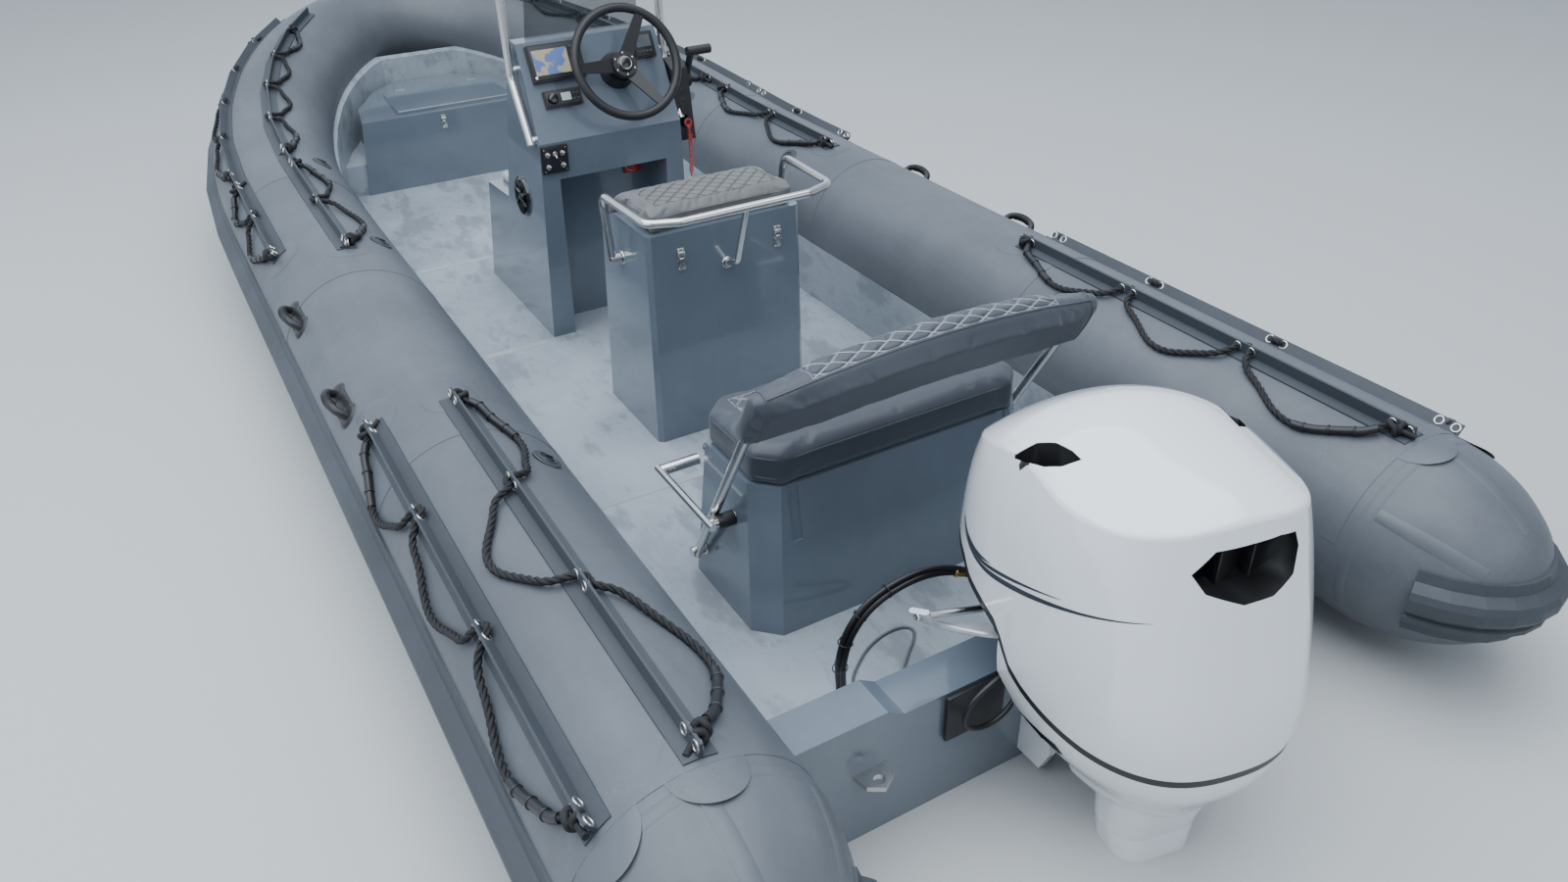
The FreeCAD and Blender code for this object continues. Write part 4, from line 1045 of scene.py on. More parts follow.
@dataclass
class Collar:
    """The collar's seams, patches, valves, handles and grab lines."""

    seams: Sequence[float] = (-2.585, -1.38, -0.28, 0.72)
    outer_aft: Sequence[float] = (-1.175, -1.60, -2.05, -2.555)
    bow: Sequence[float] = (102.0, 114.0, 126.0, 138.0, 150.0)
    bow_falls: Sequence[float] = (0.08, 0.09, 0.08, 0.08)
    patch: tuple[float, float] = (0.085, 0.075)

    def build(self) -> None:
        """Make everything that is glued or tied to the collar."""
        for side, word in SIDES:
            self.bands(side, word)
            self.valves(side, word)
            self.handles(side, word)
            self.cone_seams(side, word)
        for name, side, eyes, falls, inboard in (
            ("rope_aft_inner_port", 1, (-1.245, -1.68, -2.08, -2.555), (0.085, -0.13, 0.15), True),
            ("rope_aft_outer_port", 1, self.outer_aft, (0.12, 0.10, 0.11), False),
            ("rope_aft_inner_starboard", -1, (-1.245, -1.68, -2.10, -2.555), (0.10, 0.12, 0.13), True),
            ("rope_aft_outer_starboard", -1, self.outer_aft, (0.10, 0.10, 0.10), False),
        ):
            GrabLine(name, side, eyes, falls, inboard).build()
        for side, word in SIDES:
            for name, eyes, falls, inboard in (
                ("rope_fore_inner_", (-0.07, 0.37, 0.80), (0.11, 0.09), True),
                ("rope_bow_inner_", self.bow, self.bow_falls, True),
                ("rope_fore_outer_", (0.13, 0.50, 0.82), (0.10, 0.09), False),
                ("rope_bow_outer_", self.bow, self.bow_falls, False),
            ):
                GrabLine(name + word, side, eyes, falls, inboard).build()

    def bands(self, side: int, word: str) -> None:
        """Lay the overlapped seams and the round end patches of the flaps.

        Args:
            side: 1 for port, -1 for starboard.
            word: The side's name.
        """
        seams = Former()
        for run in self.seams:
            strip: list[list[Point]] = []
            for x in (run - 0.019, run - 0.0185, run + 0.0185, run + 0.019):
                lift = 0.0004 if abs(x - run) > 0.0186 else 0.0013
                strip.append([TUBE.point(x, a, lift, side) for a in range(-50, 171, 5)])
            self.sheet(seams, strip)
        seams.piece("tube_seams_" + word, COLLAR, sharp=60.0)
        patches = Former()
        wide, high = self.patch
        for run, angle in ((-2.60, 96), (-1.20, 96), (-2.60, 50), (-1.13, 50), (-0.08, 96), (0.09, 50)):
            rows: list[list[Point]] = []
            for share, lift in ((0.0, 0.0011), (0.5, 0.0011), (0.97, 0.0011), (1.0, 0.0003)):
                ring = []
                for k in range(40):
                    a = FULL_TURN * k / 40
                    over = math.degrees(high * share * math.sin(a) / TUBE.radius)
                    ring.append(TUBE.point(run + wide * share * math.cos(a), angle + over, lift, side))
                rows.append(ring + [ring[0]])
            self.sheet(patches, rows)
        patches.piece("flap_patches_" + word, COLLAR, sharp=60.0)

    def cone_seams(self, side: int, word: str) -> None:
        """Lay the double seam round the stern cone's root and the long seams toward its tip.

        Args:
            side: 1 for port, -1 for starboard.
            word: The side's name.
        """
        tree = surface_of("stern_cone_" + word)
        seams = Former()
        bands = ((-2.652, 0.0003), (-2.650, 0.0012), (-2.628, 0.0012), (-2.626, 0.0003))
        self.sheet(seams, [self.on_cone(tree, side, [(x, a) for a in range(-60, 241, 6)], lift) for x, lift in bands])
        for angle in (35.0, 90.0, 145.0):
            strips = []
            for turn, lift in ((-3.4, 0.0002), (-3.1, 0.0011), (3.1, 0.0011), (3.4, 0.0002)):
                flat = [(-2.655 - 0.016 * k, angle + turn * (1 + 0.05 * k)) for k in range(15)]
                strips.append(self.on_cone(tree, side, flat, lift))
            if min(len(row) for row in strips) == 15:
                self.sheet(seams, strips)
        seams.piece("cone_seams_" + word, COLLAR, sharp=60.0)

    def on_cone(self, tree: BVHTree, side: int, flat: Sequence[tuple[float, float]], lift: float) -> list[Point]:
        """Return points on a stern cone's skin.

        Args:
            tree: The cone's surface.
            side: 1 for port, -1 for starboard.
            flat: The points' X and their degrees round the cone.
            lift: How far off the skin.

        Returns:
            The points, without those that miss.
        """
        row: list[Point] = []
        for x, angle in flat:
            a = math.radians(angle)
            way = Vector((0, math.cos(a), math.sin(a)))
            middle = Vector((x, side * TUBE.spacing, TUBE.height))
            hit, normal, _, _ = tree.ray_cast(middle + way * 0.6, -way)
            if hit is not None:
                row.append(tuple(hit + normal * lift))
        return row

    def sheet(self, form: Former, rows: Sequence[Sequence[Point]]) -> None:
        """Bridge rows of points into a thin surface.

        Args:
            form: Where the surface goes.
            rows: The rows, all of one length.
        """
        part = bmesh.new()
        loops = []
        for row in rows:
            verts = [part.verts.new(p) for p in row]
            loops.append([part.edges.new((a, b)) for a, b in zip(verts, verts[1:])])
        for one, two in zip(loops, loops[1:]):
            bmesh.ops.bridge_loops(part, edges=one + two)
        bmesh.ops.remove_doubles(part, verts=part.verts, dist=MERGE)
        bmesh.ops.recalc_face_normals(part, faces=part.faces)
        form.take(part)

    def valves(self, side: int, word: str) -> None:
        """Set the inflation valves in their patches on the inboard shoulder.

        Args:
            side: 1 for port, -1 for starboard.
            word: The side's name.
        """
        form, caps = Former(), Former()
        for run in (-1.53, 0.03, 101.0):
            here = TUBE.point(run, 128, 0.0, side)
            out = Vector(here) - Vector(TUBE.point(run, 128, -0.1, side))
            where = facing(here, out, (1, 0, 0))
            form.lathe(((0.0005, 0.004), (0.020, 0.004), (0.030, 0.0046), (0.036, 0.0036), (0.0385, 0.0008)), where)
            form.ring(0.0235, 0.0028, where @ at(0, 0, 0.0045), 1.0, 32)
            caps.lathe(((0.0005, 0.0085), (0.012, 0.0085), (0.0155, 0.007), (0.017, 0.003)), where)
            caps.box((0.022, 0.005, 0.004), where @ at(0, 0, 0.0082), 0.0012)
        form.piece("valve_bodies_" + word, STRAKE)
        caps.piece("valve_caps_" + word, BLACK)

    def handles(self, side: int, word: str) -> None:
        """Glue the moulded lifting handles to the outboard shoulder.

        Args:
            side: 1 for port, -1 for starboard.
            word: The side's name.
        """
        form = Former()
        for run in (-0.93, -0.33):
            here = TUBE.point(run, 38, 0.0, side)
            out = Vector(here) - Vector(TUBE.point(run, 38, -0.1, side))
            where = facing(here, out, (0.0, 0.0, 1.0))
            for x in (-0.062, 0.062):
                form.drum(0.040, 0.030, 0.012, where @ at(x, 0, -0.006), 0.004, 36)
            form.box((0.150, 0.062, 0.010), where @ at(0, 0, -0.006), 0.004)
            half = ((0.066, 0.004), (0.062, 0.026), (0.040, 0.040))
            grip = [(-x, z) for x, z in half] + [(0.0, 0.044)] + list(reversed(half))
            form.pipe([where @ Vector((x, 0, z)) for x, z in grip], 0.0115, sides=4)
            for k in range(-4, 5):
                rib = where @ at(k * 0.008, 0, 0.0425 - 0.00009 * (k * 1.6) ** 2)
                form.ring(0.0118, 0.0016, rib @ Matrix.Rotation(math.pi / 2, 4, "Y"), 1.0, 18)
        form.piece("lifting_handles_" + word, BLACK)


# ---------------------------------------------------------------- soft goods


def surface_of(node: str) -> BVHTree:
    """Return a search tree of a surface.

    Args:
        node: The solid's or the piece's name.

    Returns:
        The tree.
    """
    form = bmesh.new()
    form.from_mesh(bpy.data.objects[node].data)
    tree = BVHTree.FromBMesh(form)
    form.free()
    return tree


class Step(Enum):
    """The modifiers that a pad goes through."""

    REMESH = "REMESH"
    SMOOTH = "SMOOTH"
    SUBSURF = "SUBSURF"


@dataclass
class Pad:
    """A padded piece: the solid's copy, filled as cloth, then quilted, stitched and piped."""

    node: str
    name: str
    finish: Finish
    body: str
    voxel: float = 0.006
    shrink: float = 0.003
    cap: float = 0.011
    fill: float = 0.8
    floor: bool = True
    frames: int = 20
    lift: float = 0.0006
    ease: float = 0.5
    easings: int = 26

    def build(self) -> bpy.types.Object:
        """Make the filled form in place of its solid.

        Returns:
            The piece.
        """
        solid = bpy.data.objects[self.node]
        form = bmesh.new()
        form.from_mesh(solid.data)
        bmesh.ops.remove_doubles(form, verts=form.verts, dist=MERGE)
        mesh = bpy.data.meshes.new(self.name)
        form.to_mesh(mesh)
        form.free()
        made = bpy.data.objects.new(self.name, mesh)
        bpy.context.collection.objects.link(made)
        self.settle(made, Step.REMESH)
        self.settle(made, Step.SMOOTH)
        lowest = min(v.co.z for v in made.data.vertices)
        for vertex, normal in zip(made.data.vertices, [v.normal.copy() for v in made.data.vertices]):
            vertex.co -= normal * self.shrink
        start = [v.co.copy() for v in made.data.vertices]
        self.fill_out(made)
        for vertex, base in zip(made.data.vertices, start):
            move = vertex.co - base
            if move.length > self.cap:
                vertex.co = base + move.normalized() * self.cap
            if self.floor:
                vertex.co.z = max(vertex.co.z, lowest + self.lift)
        self.settle(made, Step.SUBSURF)
        made.data.materials.clear()
        made.data.materials.append(self.finish.material())
        made.data.shade_smooth()
        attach(made, self.body)
        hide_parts(self.node)
        log.info("%s: %d faces", self.name, len(made.data.polygons))
        return made

    def settle(self, made: bpy.types.Object, step: Step) -> None:
        """Apply one modifier to the piece.

        Args:
            made: The piece.
            step: Which modifier.
        """
        modifier = made.modifiers.new("step", step.value)
        if step is Step.REMESH:
            modifier.mode = "VOXEL"
            modifier.voxel_size = self.voxel
            modifier.use_smooth_shade = True
        elif step is Step.SMOOTH:
            modifier.factor = self.ease
            modifier.iterations = self.easings
        else:
            modifier.levels = 1
            modifier.render_levels = 1
        self.apply(made)

    def apply(self, made: bpy.types.Object) -> None:
        """Put the evaluated mesh in the piece's place and drop its modifiers.

        Args:
            made: The piece.
        """
        graph = bpy.context.evaluated_depsgraph_get()
        done = bpy.data.meshes.new_from_object(made.evaluated_get(graph), depsgraph=graph)
        made.modifiers.clear()
        old = made.data
        made.data = done
        bpy.data.meshes.remove(old)

    def fill_out(self, made: bpy.types.Object) -> None:
        """Swell the form under pressure for twenty frames.

        Args:
            made: The piece.
        """
        cloth = made.modifiers.new("Cloth", "CLOTH")
        cloth.settings.quality = 4
        cloth.settings.use_pressure = True
        cloth.settings.uniform_pressure_force = 4.0
        cloth.settings.effector_weights.gravity = 0.0
        cloth.settings.tension_stiffness = 12.0
        cloth.settings.bending_stiffness = 0.6
        cloth.point_cache.frame_start = 1
        cloth.point_cache.frame_end = self.frames
        scene = bpy.context.scene
        for frame in range(1, self.frames + 1):
            scene.frame_set(frame)
        self.apply(made)
        scene.frame_set(1)


@dataclass
class Quilting:
    """A quilted panel on a pad, in the panel's own flat coordinates."""

    flatten: Callable[[Vector], tuple[float, float, bool]]
    ray: Callable[[float, float], tuple[Vector, Vector]]
    across: tuple[float, float]
    along: tuple[float, float]
    pitch: float = 0.068
    depth: float = 0.0034
    channel: float = 0.0042
    crown: float = 0.0016
    crown_width: float = 0.012
    thread: float = 0.0007

    def press(self, pad: bpy.types.Object) -> None:
        """Sink the sewn channels into the pad.

        Args:
            pad: The pad.
        """
        mesh = pad.data
        normals = [v.normal.copy() for v in mesh.vertices]
        for vertex, normal in zip(mesh.vertices, normals):
            u, v, faces_panel = self.flatten(vertex.co)
            if not faces_panel or not (self.across[0] < u < self.across[1] and self.along[0] < v < self.along[1]):
                continue
            lines = [(u + way * v) / self.pitch for way in (1, -1)]
            near = min(abs(line - round(line)) for line in lines) * self.pitch * 0.7
            edge = min(u - self.across[0], self.across[1] - u, v - self.along[0], self.along[1] - v)
            near = min(near, edge)
            vertex.co -= normal * self.depth * math.exp(-((near / self.channel) ** 2))
            vertex.co += normal * self.crown * (1 - math.exp(-((near / self.crown_width) ** 2)))

    def stitch(
        self, pad: bpy.types.Object, name: str, finish: Finish, body: str, twin: float = 0.0035
    ) -> None:
        """Sew the diamonds with twin lines and frame the panel with one.

        Args:
            pad: The pad.
            name: The stitching's name.
            finish: The thread.
            body: The body that it rides on.
            twin: Half the distance between the twin lines.
        """
        tree = surface_of(pad.name)
        thread = Former()
        u0, u1 = self.across
        v0, v1 = self.along
        for way in (1, -1):
            low = min(u0 + way * v for v in (v0, v1))
            high = max(u1 + way * v for v in (v0, v1))
            for k in range(math.ceil(low / self.pitch), math.floor(high / self.pitch) + 1):
                for shift in (-twin, twin):
                    self.sew(thread, tree, [(k * self.pitch + shift - way * v, v) for v in self.steps(v0, v1)])
        frame = [(u, v0) for u in self.steps(u0, u1)] + [(u1, v) for v in self.steps(v0, v1)]
        frame += [(u, v1) for u in reversed(self.steps(u0, u1))] + [(u0, v) for v in reversed(self.steps(v0, v1))]
        self.sew(thread, tree, frame)
        thread.piece(name, finish, body, sharp=60.0)

    def steps(self, low: float, high: float) -> list[float]:
        """Return even steps of about 7 mm between two values."""
        count = max(2, round((high - low) / 0.007))
        return [low + (high - low) * k / count for k in range(count + 1)]

    def sew(self, thread: Former, tree: BVHTree, flat: Sequence[tuple[float, float]]) -> None:
        """Lay one thread onto the pad.

        Args:
            thread: Where the thread goes.
            tree: The pad's surface.
            flat: The thread's points in the panel's coordinates.
        """
        line: list[Point] = []
        for u, v in flat:
            if not (self.across[0] - 1e-6 <= u <= self.across[1] + 1e-6):
                continue
            start, way = self.ray(u, v)
            hit, normal, _, _ = tree.ray_cast(start, way)
            if hit is not None:
                line.append(tuple(hit + normal * 0.0005))
        if len(line) > 2:
            thread.pipe(line, self.thread, sides=0, smooth=False)


def outline_piping(pad: str, middle: float, half: tuple[float, float], height: float, radius: float) -> list[Point]:
    """Return a closed line round a pad at one height, just in its surface.

    Args:
        pad: The pad's name.
        middle: The X of the pad's middle.
        half: About half the pad's size along X and Y.
        height: The height of the line.
        radius: The piping's radius.

    Returns:
        The points.
    """
    steps = 90
    tree = surface_of(pad)
    line: list[Point] = []
    for k in range(steps):
        a = FULL_TURN * k / steps
        way = Vector((math.cos(a) * half[0], math.sin(a) * half[1] * 0.6, 0)).normalized()
        start = Vector((middle + half[0] * 0.55 * math.cos(a), half[1] * 0.75 * math.sin(a), 0)) + way * 1.5
        start.z = height
        hit, normal, _, _ = tree.ray_cast(start, -way)
        if hit is not None:
            line.append(tuple(hit - normal * radius * 0.35))
    return line


class Upholstery:
    """The bench's cushion and swinging back, and the jockey seat's wedge."""

    ARM = Vector((-0.5, 0.0, 0.866))
    FRONT = Vector((0.866, 0.0, 0.5))
    PIVOT = Vector((-1.61, 0.0, 0.13))
    HALF_WIDTH = 0.49
    TALL = 0.722
    CROWN = 0.058
    ROUND = 0.075
    FLATNESS = 0.55
    PIPED_END = 0.452

    def build(self) -> None:
        """Make the three."""
        self.bench()
        self.back()
        self.seat()

    def bench(self) -> None:
        """Make the bench's cushion, its quilted panel and its raised aft roll."""
        pad = Pad("bench_cushion", "bench_cushion_soft", NAVY, "boat", 0.0068).build()
        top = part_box("bench_cushion")[1][2]
        for vertex in pad.data.vertices:
            x, y, z = vertex.co
            if z > top - 0.035 and abs(y) < 0.325:
                vertex.co.z -= 0.008 * math.exp(-(((x + 1.752) / 0.0065) ** 2))
                vertex.co.z += 0.006 * max(0.0, 1 - abs((x + 1.733) / 0.014))
        quilt = Quilting(
            lambda p: (p.y, p.x, p.z > top - 0.04),
            lambda u, v: (Vector((v, u, top + 0.1)), Vector((0, 0, -1))),
            (-0.335, 0.335), (-1.712, -1.585),
        )
        quilt.press(pad)
        quilt.stitch(pad, "bench_stitches", THREAD, "boat")
        edge = Former()
        for height in (top - 0.022, top - 0.074):
            line = outline_piping(pad.name, -1.70, (0.175, 0.41), height, 0.0026)
            edge.pipe(line, 0.0026, closed=True, sides=2)
        edge.piece("bench_piping", NAVY, sharp=60.0)

    def back_ray(self, u: float, v: float) -> tuple[Vector, Vector]:
        """Return a ray onto the backrest.

        Args:
            u: How far across.
            v: Metres round the back's section from the middle of its front.

        Returns:
            The ray's start and its way.
        """
        middle = self.TALL - self.CROWN * (u / self.HALF_WIDTH) ** 2
        a = v / self.ROUND
        way = self.FRONT * math.cos(a) * self.FLATNESS + self.ARM * math.sin(a)
        way.normalize()
        heart = self.PIVOT + self.ARM * (middle + 0.03 * math.sin(a)) + Vector((0, u, 0))
        return heart + way * 0.4, -way

    def back(self) -> None:
        """Make the swinging back, quilted on its front and top."""
        pad = Pad("backrest", "backrest_soft", NAVY, "backrest", 0.0062, floor=False).build()

        def flatten(place: Vector) -> tuple[float, float, bool]:
            """Find where a point lies on the back.

            Args:
                place: The point.

            Returns:
                How far across, how far round the section, and whether the panel counts there.
            """
            off = place - self.PIVOT
            tall = off.dot(self.ARM) - (self.TALL - self.CROWN * (place.y / self.HALF_WIDTH) ** 2)
            return place.y, math.atan2(tall, off.dot(self.FRONT) / self.FLATNESS) * self.ROUND, True

        def traced(rays: Iterable[tuple[Vector, Vector]]) -> list[Point]:
            """Return where rays meet the back, just proud of it."""
            hits = (tree.ray_cast(start, way) for start, way in rays)
            return [tuple(hit + normal * 0.0002) for hit, normal, _, _ in hits if hit is not None]

        quilt = Quilting(flatten, self.back_ray, (-0.34, 0.34), (-0.07, 0.128), 0.072)
        quilt.press(pad)
        quilt.stitch(pad, "backrest_stitches", THREAD, "backrest", 0.003)
        tree = surface_of(pad.name)
        edge = Former()
        span = 2 * self.PIPED_END
        edge.pipe(traced(self.back_ray(-self.PIPED_END + span * k / 59, 0.142) for k in range(60)), 0.0026, sides=2)
        for u in (-self.PIPED_END, self.PIPED_END):
            loop = (self.back_ray(u, FULL_TURN * self.ROUND * k / 48) for k in range(48))
            edge.pipe(traced(loop), 0.0026, closed=True, sides=2)
        edge.piece("backrest_piping", NAVY, "backrest", sharp=60.0)

    def seat(self) -> None:
        """Make the jockey seat's wedge."""
        pad = Pad("seat_cushion", "seat_cushion_soft", TAUPE, "seat_lid", 0.005).build()
        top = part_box("seat_cushion")[1][2]
        quilt = Quilting(
            lambda p: (p.y, p.x, p.z > top - 0.05),
            lambda u, v: (Vector((v, u, top + 0.1)), Vector((0, 0, -1))),
            (-0.20, 0.20), (-0.915, -0.70), 0.05, 0.0026,
        )
        quilt.press(pad)
        quilt.stitch(pad, "seat_stitches", TAUPE_THREAD, "seat_lid", 0.003)
        edge = Former()
        line = outline_piping(pad.name, -0.79, (0.16, 0.241), top - 0.02, 0.0022)
        edge.pipe(line, 0.0022, closed=True, sides=2)
        edge.piece("seat_piping", TAUPE, "seat_lid", sharp=60.0)


# ---------------------------------------------------------------- fittings


class Fittings:
    """Small fittings: dash instruments, latches, straps, flanges, hinges and deck strips."""

    LOW = Vector((-0.140, 0.0, 0.770))
    UP = Vector((0.453, 0.0, 0.891))
    OUT = Vector((-0.891, 0.0, 0.453))
    WHEEL = Vector((-0.14831, -0.075, 0.996351))
    COIL_STEPS = 420
    COIL_TURNS = 26.0
    COIL_RADIUS = 0.0062

    def build(self) -> None:
        """Make them all."""
        self.display()
        self.radio_and_gauge()
        self.switches()
        self.wheel_hub()
        self.control()
        self.console_sides()
        self.seat_fittings()
        self.bench_fittings()
        self.locker_fittings()
        self.deck_strips()

    def dash(self, y: float, up: float, out: float) -> Matrix:
        """Return a place on the dash.

        Args:
            y: How far to port.
            up: How far up the slope.
            out: How far off it.

        Returns:
            The place, with local X to starboard, Y up the slope and Z out.
        """
        place = self.LOW + self.UP * up + self.OUT * out + Vector((0, y, 0))
        return facing(place, self.OUT, self.UP)

    def display(self) -> None:
        """Make the chart display's bezel, screen and keys."""
        here = self.dash(0.1325, 0.255, 0.022)
        Former().box((0.178, 0.112, 0.004), here, 0.0018).piece("display_bezel", BLACK)
        Former().box((0.122, 0.082, 0.0012), here @ at(-0.019, 0, 0.0036), 0.0004, 1).piece(
            "display_screen", CHART, sharp=20.0
        )
        keys = Former()
        for row in range(6):
            for column in range(2):
                spot = here @ at(0.058 + column * 0.017, 0.040 - row * 0.016, 0.0036)
                keys.box((0.012, 0.009, 0.0022), spot, 0.0009, 2)
        keys.piece("display_keys", KEYS)
        screws = Former()
        for x in (-0.088, 0.088):
            screws.drum(0.0055, 0.005, 0.0016, here @ at(x * 0.93, -0.047, 0.0036), 0.0004, 16)
        screws.piece("display_screws", STEEL)

    def radio_and_gauge(self) -> None:
        """Make the radio's knob, screen and keys, and the engine gauge's screen."""
        here = self.dash(0.140, 0.1375, 0.014)
        Former().box((0.122, 0.048, 0.003), here, 0.0015).piece("radio_face", BLACK)
        knob = Former()
        knob.drum(0.0165, 0.0150, 0.014, here @ at(-0.038, 0, 0.0028), 0.0012, 40)
        knob.ring(0.0175, 0.0012, here @ at(-0.038, 0, 0.0034))
        knob.piece("radio_knob", GLOSS)
        Former().box((0.034, 0.026, 0.001), here @ at(0.010, 0.002, 0.0027), 0.0003, 1).piece(
            "radio_screen", LCD, sharp=20.0
        )
        keys = Former()
        for k in range(4):
            spot = here @ at(0.038 + 0.014 * (k % 2), 0.009 - 0.018 * (k // 2), 0.0027)
            keys.box((0.011, 0.006, 0.002), spot, 0.0007, 2)
        for k in range(5):
            keys.box((0.010, 0.0032, 0.0012), here @ at(-0.008 + 0.013 * k, -0.0175, 0.0027), 0.0005, 1)
        keys.piece("radio_keys", KEYS)
        face = self.dash(-0.189, 0.2675, 0.0)
        near = surface_of("gauge").ray_cast(face.translation + self.OUT * 0.2, -self.OUT)[0]
        out = (near - face.translation).dot(self.OUT) if near is not None else 0.02
        face = self.dash(-0.189, 0.2675, out)
        Former().box((0.070, 0.076, 0.003), face, 0.0014).piece("gauge_bezel", BLACK)
        Former().box((0.052, 0.040, 0.001), face @ at(0, 0.011, 0.0028), 0.0003, 1).piece(
            "gauge_screen", DIM, sharp=20.0
        )
        buttons = Former()
        for k in range(4):
            buttons.box((0.011, 0.008, 0.002), face @ at(-0.021 + 0.014 * k, -0.024, 0.0028), 0.0008, 2)
        buttons.piece("gauge_keys", KEYS)

    def switches(self) -> None:
        """Make the switch panel's toggles and their collars."""
        near = surface_of("switch_panel").ray_cast((-0.6, 0.214, 0.716), (1, 0, 0))[0]
        here = facing(near, (-0.9985, 0, -0.055), (0, 0, 1))
        Former().box((0.086, 0.086, 0.0022), here, 0.0010).piece("switch_face", BLACK)
        steel, levers = Former(), Former()
        for row, k in ((0, 0), (0, 1), (0, 2), (1, 0), (1, 2)):
            spot = here @ at(-0.026 + 0.026 * k, 0.020 - 0.042 * row, 0.002)
            steel.drum(0.0075, 0.0070, 0.0035, spot, 0.0006, 6)
            steel.ring(0.0078, 0.0008, spot @ at(0, 0, 0.001), 1.0, 24)
            lean = spot @ Matrix.Rotation(math.radians(22 if k % 2 else -22), 4, "X")
            levers.drum(0.0028, 0.0040, 0.017, lean @ at(0, 0, 0.002), 0.0012, 16)
        for x in (-0.038, 0.038):
            for y in (-0.038, 0.038):
                steel.drum(0.0028, 0.0026, 0.0010, here @ at(x, y, 0.0020), 0.0003, 12)
        steel.piece("switch_collars", STEEL)
        levers.piece("switch_levers", STEEL)

    def wheel_hub(self) -> None:
        """Make the wheel's bare hub cap, its ring and its bolts."""
        near = surface_of("steering_wheel").ray_cast(self.WHEEL + self.OUT * 0.2, -self.OUT)[0]
        here = facing(near if near is not None else self.WHEEL, self.OUT, self.UP)
        rows = ((0.0003, 0.0095), (0.014, 0.0090), (0.024, 0.0064), (0.0285, 0.0020), (0.0290, -0.001))
        Former().lathe(rows, here).piece("hub_cap", GLOSS, "wheel")
        trim = Former().ring(0.0195, 0.0011, here @ at(0, 0, 0.0080), 1.0, 48)
        trim.piece("hub_ring", STEEL, "wheel")
        bolts = Former()
        for k in range(6):
            a = math.radians(60 * k + 30)
            spot = here @ at(0.036 * math.cos(a), 0.036 * math.sin(a), -0.0015)
            bolts.drum(0.0034, 0.0030, 0.0020, spot, 0.0006, 12)
        bolts.piece("hub_bolts", STEEL, "wheel")

    def control(self) -> None:
        """Make the engine control's trim plate, the stop switch and its coiled cord."""
        near = surface_of("throttle").ray_cast((-0.6, -0.292, 0.80), (1, 0, 0))[0]
        low = near if near is not None else Vector((-0.17, -0.292, 0.80))
        here = facing(low, (-1, 0, 0.25), (0, 0, 1))
        trim = Former()
        trim.box((0.030, 0.110, 0.004), here @ at(0, 0.030, -0.001), 0.0016)
        trim.box((0.012, 0.020, 0.004), here @ at(0, 0.060, 0.002), 0.0012)
        trim.box((0.010, 0.010, 0.004), here @ at(0, 0.025, 0.002), 0.0012)
        trim.drum(0.016, 0.014, 0.030, here @ at(0, -0.052, -0.018), 0.003, 28)
        trim.piece("control_trim", BLACK)
        clip = here @ at(0, -0.052, 0.0125)
        stop = Former()
        stop.ring(0.0115, 0.0035, clip, 1.0, 28)
        stop.box((0.012, 0.016, 0.005), clip @ at(0, -0.014, -0.001), 0.0015)
        stop.piece("stop_clip", RED)
        top = clip @ Vector((0, -0.022, 0.002))
        drops = (
            (0.0, 0.0, 0.0), (-0.006, 0.001, -0.014), (-0.011, 0.003, -0.040), (-0.012, 0.004, -0.080),
            (-0.010, 0.004, -0.120), (-0.006, 0.004, -0.150), (-0.003, 0.003, -0.168),
        )
        line = smooth_path([top + Vector(p) for p in drops], 16)
        coil, count = [], self.COIL_STEPS
        for k in range(count + 1):
            t = k / count * (len(line) - 1)
            a = min(int(t), len(line) - 2)
            place = line[a].lerp(line[a + 1], t - a)
            swell = min(1.0, 8 * k / count, 8 * (1 - k / count))
            turn = FULL_TURN * self.COIL_TURNS * k / count
            coil.append(tuple(place + Vector((math.cos(turn), math.sin(turn), 0)) * self.COIL_RADIUS * swell))
        cord = Former()
        cord.pipe(coil, 0.0019, sides=1, smooth=False)
        made = cord.piece("stop_cord", RED, sharp=60.0)
        hook = Former()
        end = line[-1]
        hook.ring(0.008, 0.0020, facing(end + Vector((0, 0, -0.012)), (1, 0, 0)), 1.0, 24)
        hook.drum(0.0036, 0.0030, 0.012, facing(end + Vector((0, 0, -0.006)), (0, 0, 1), (1, 0, 0)), 0.0008, 16)
        hooked = hook.piece("stop_hook", STEEL)
        round(run_length([Vector(p) for p in coil]), 3)

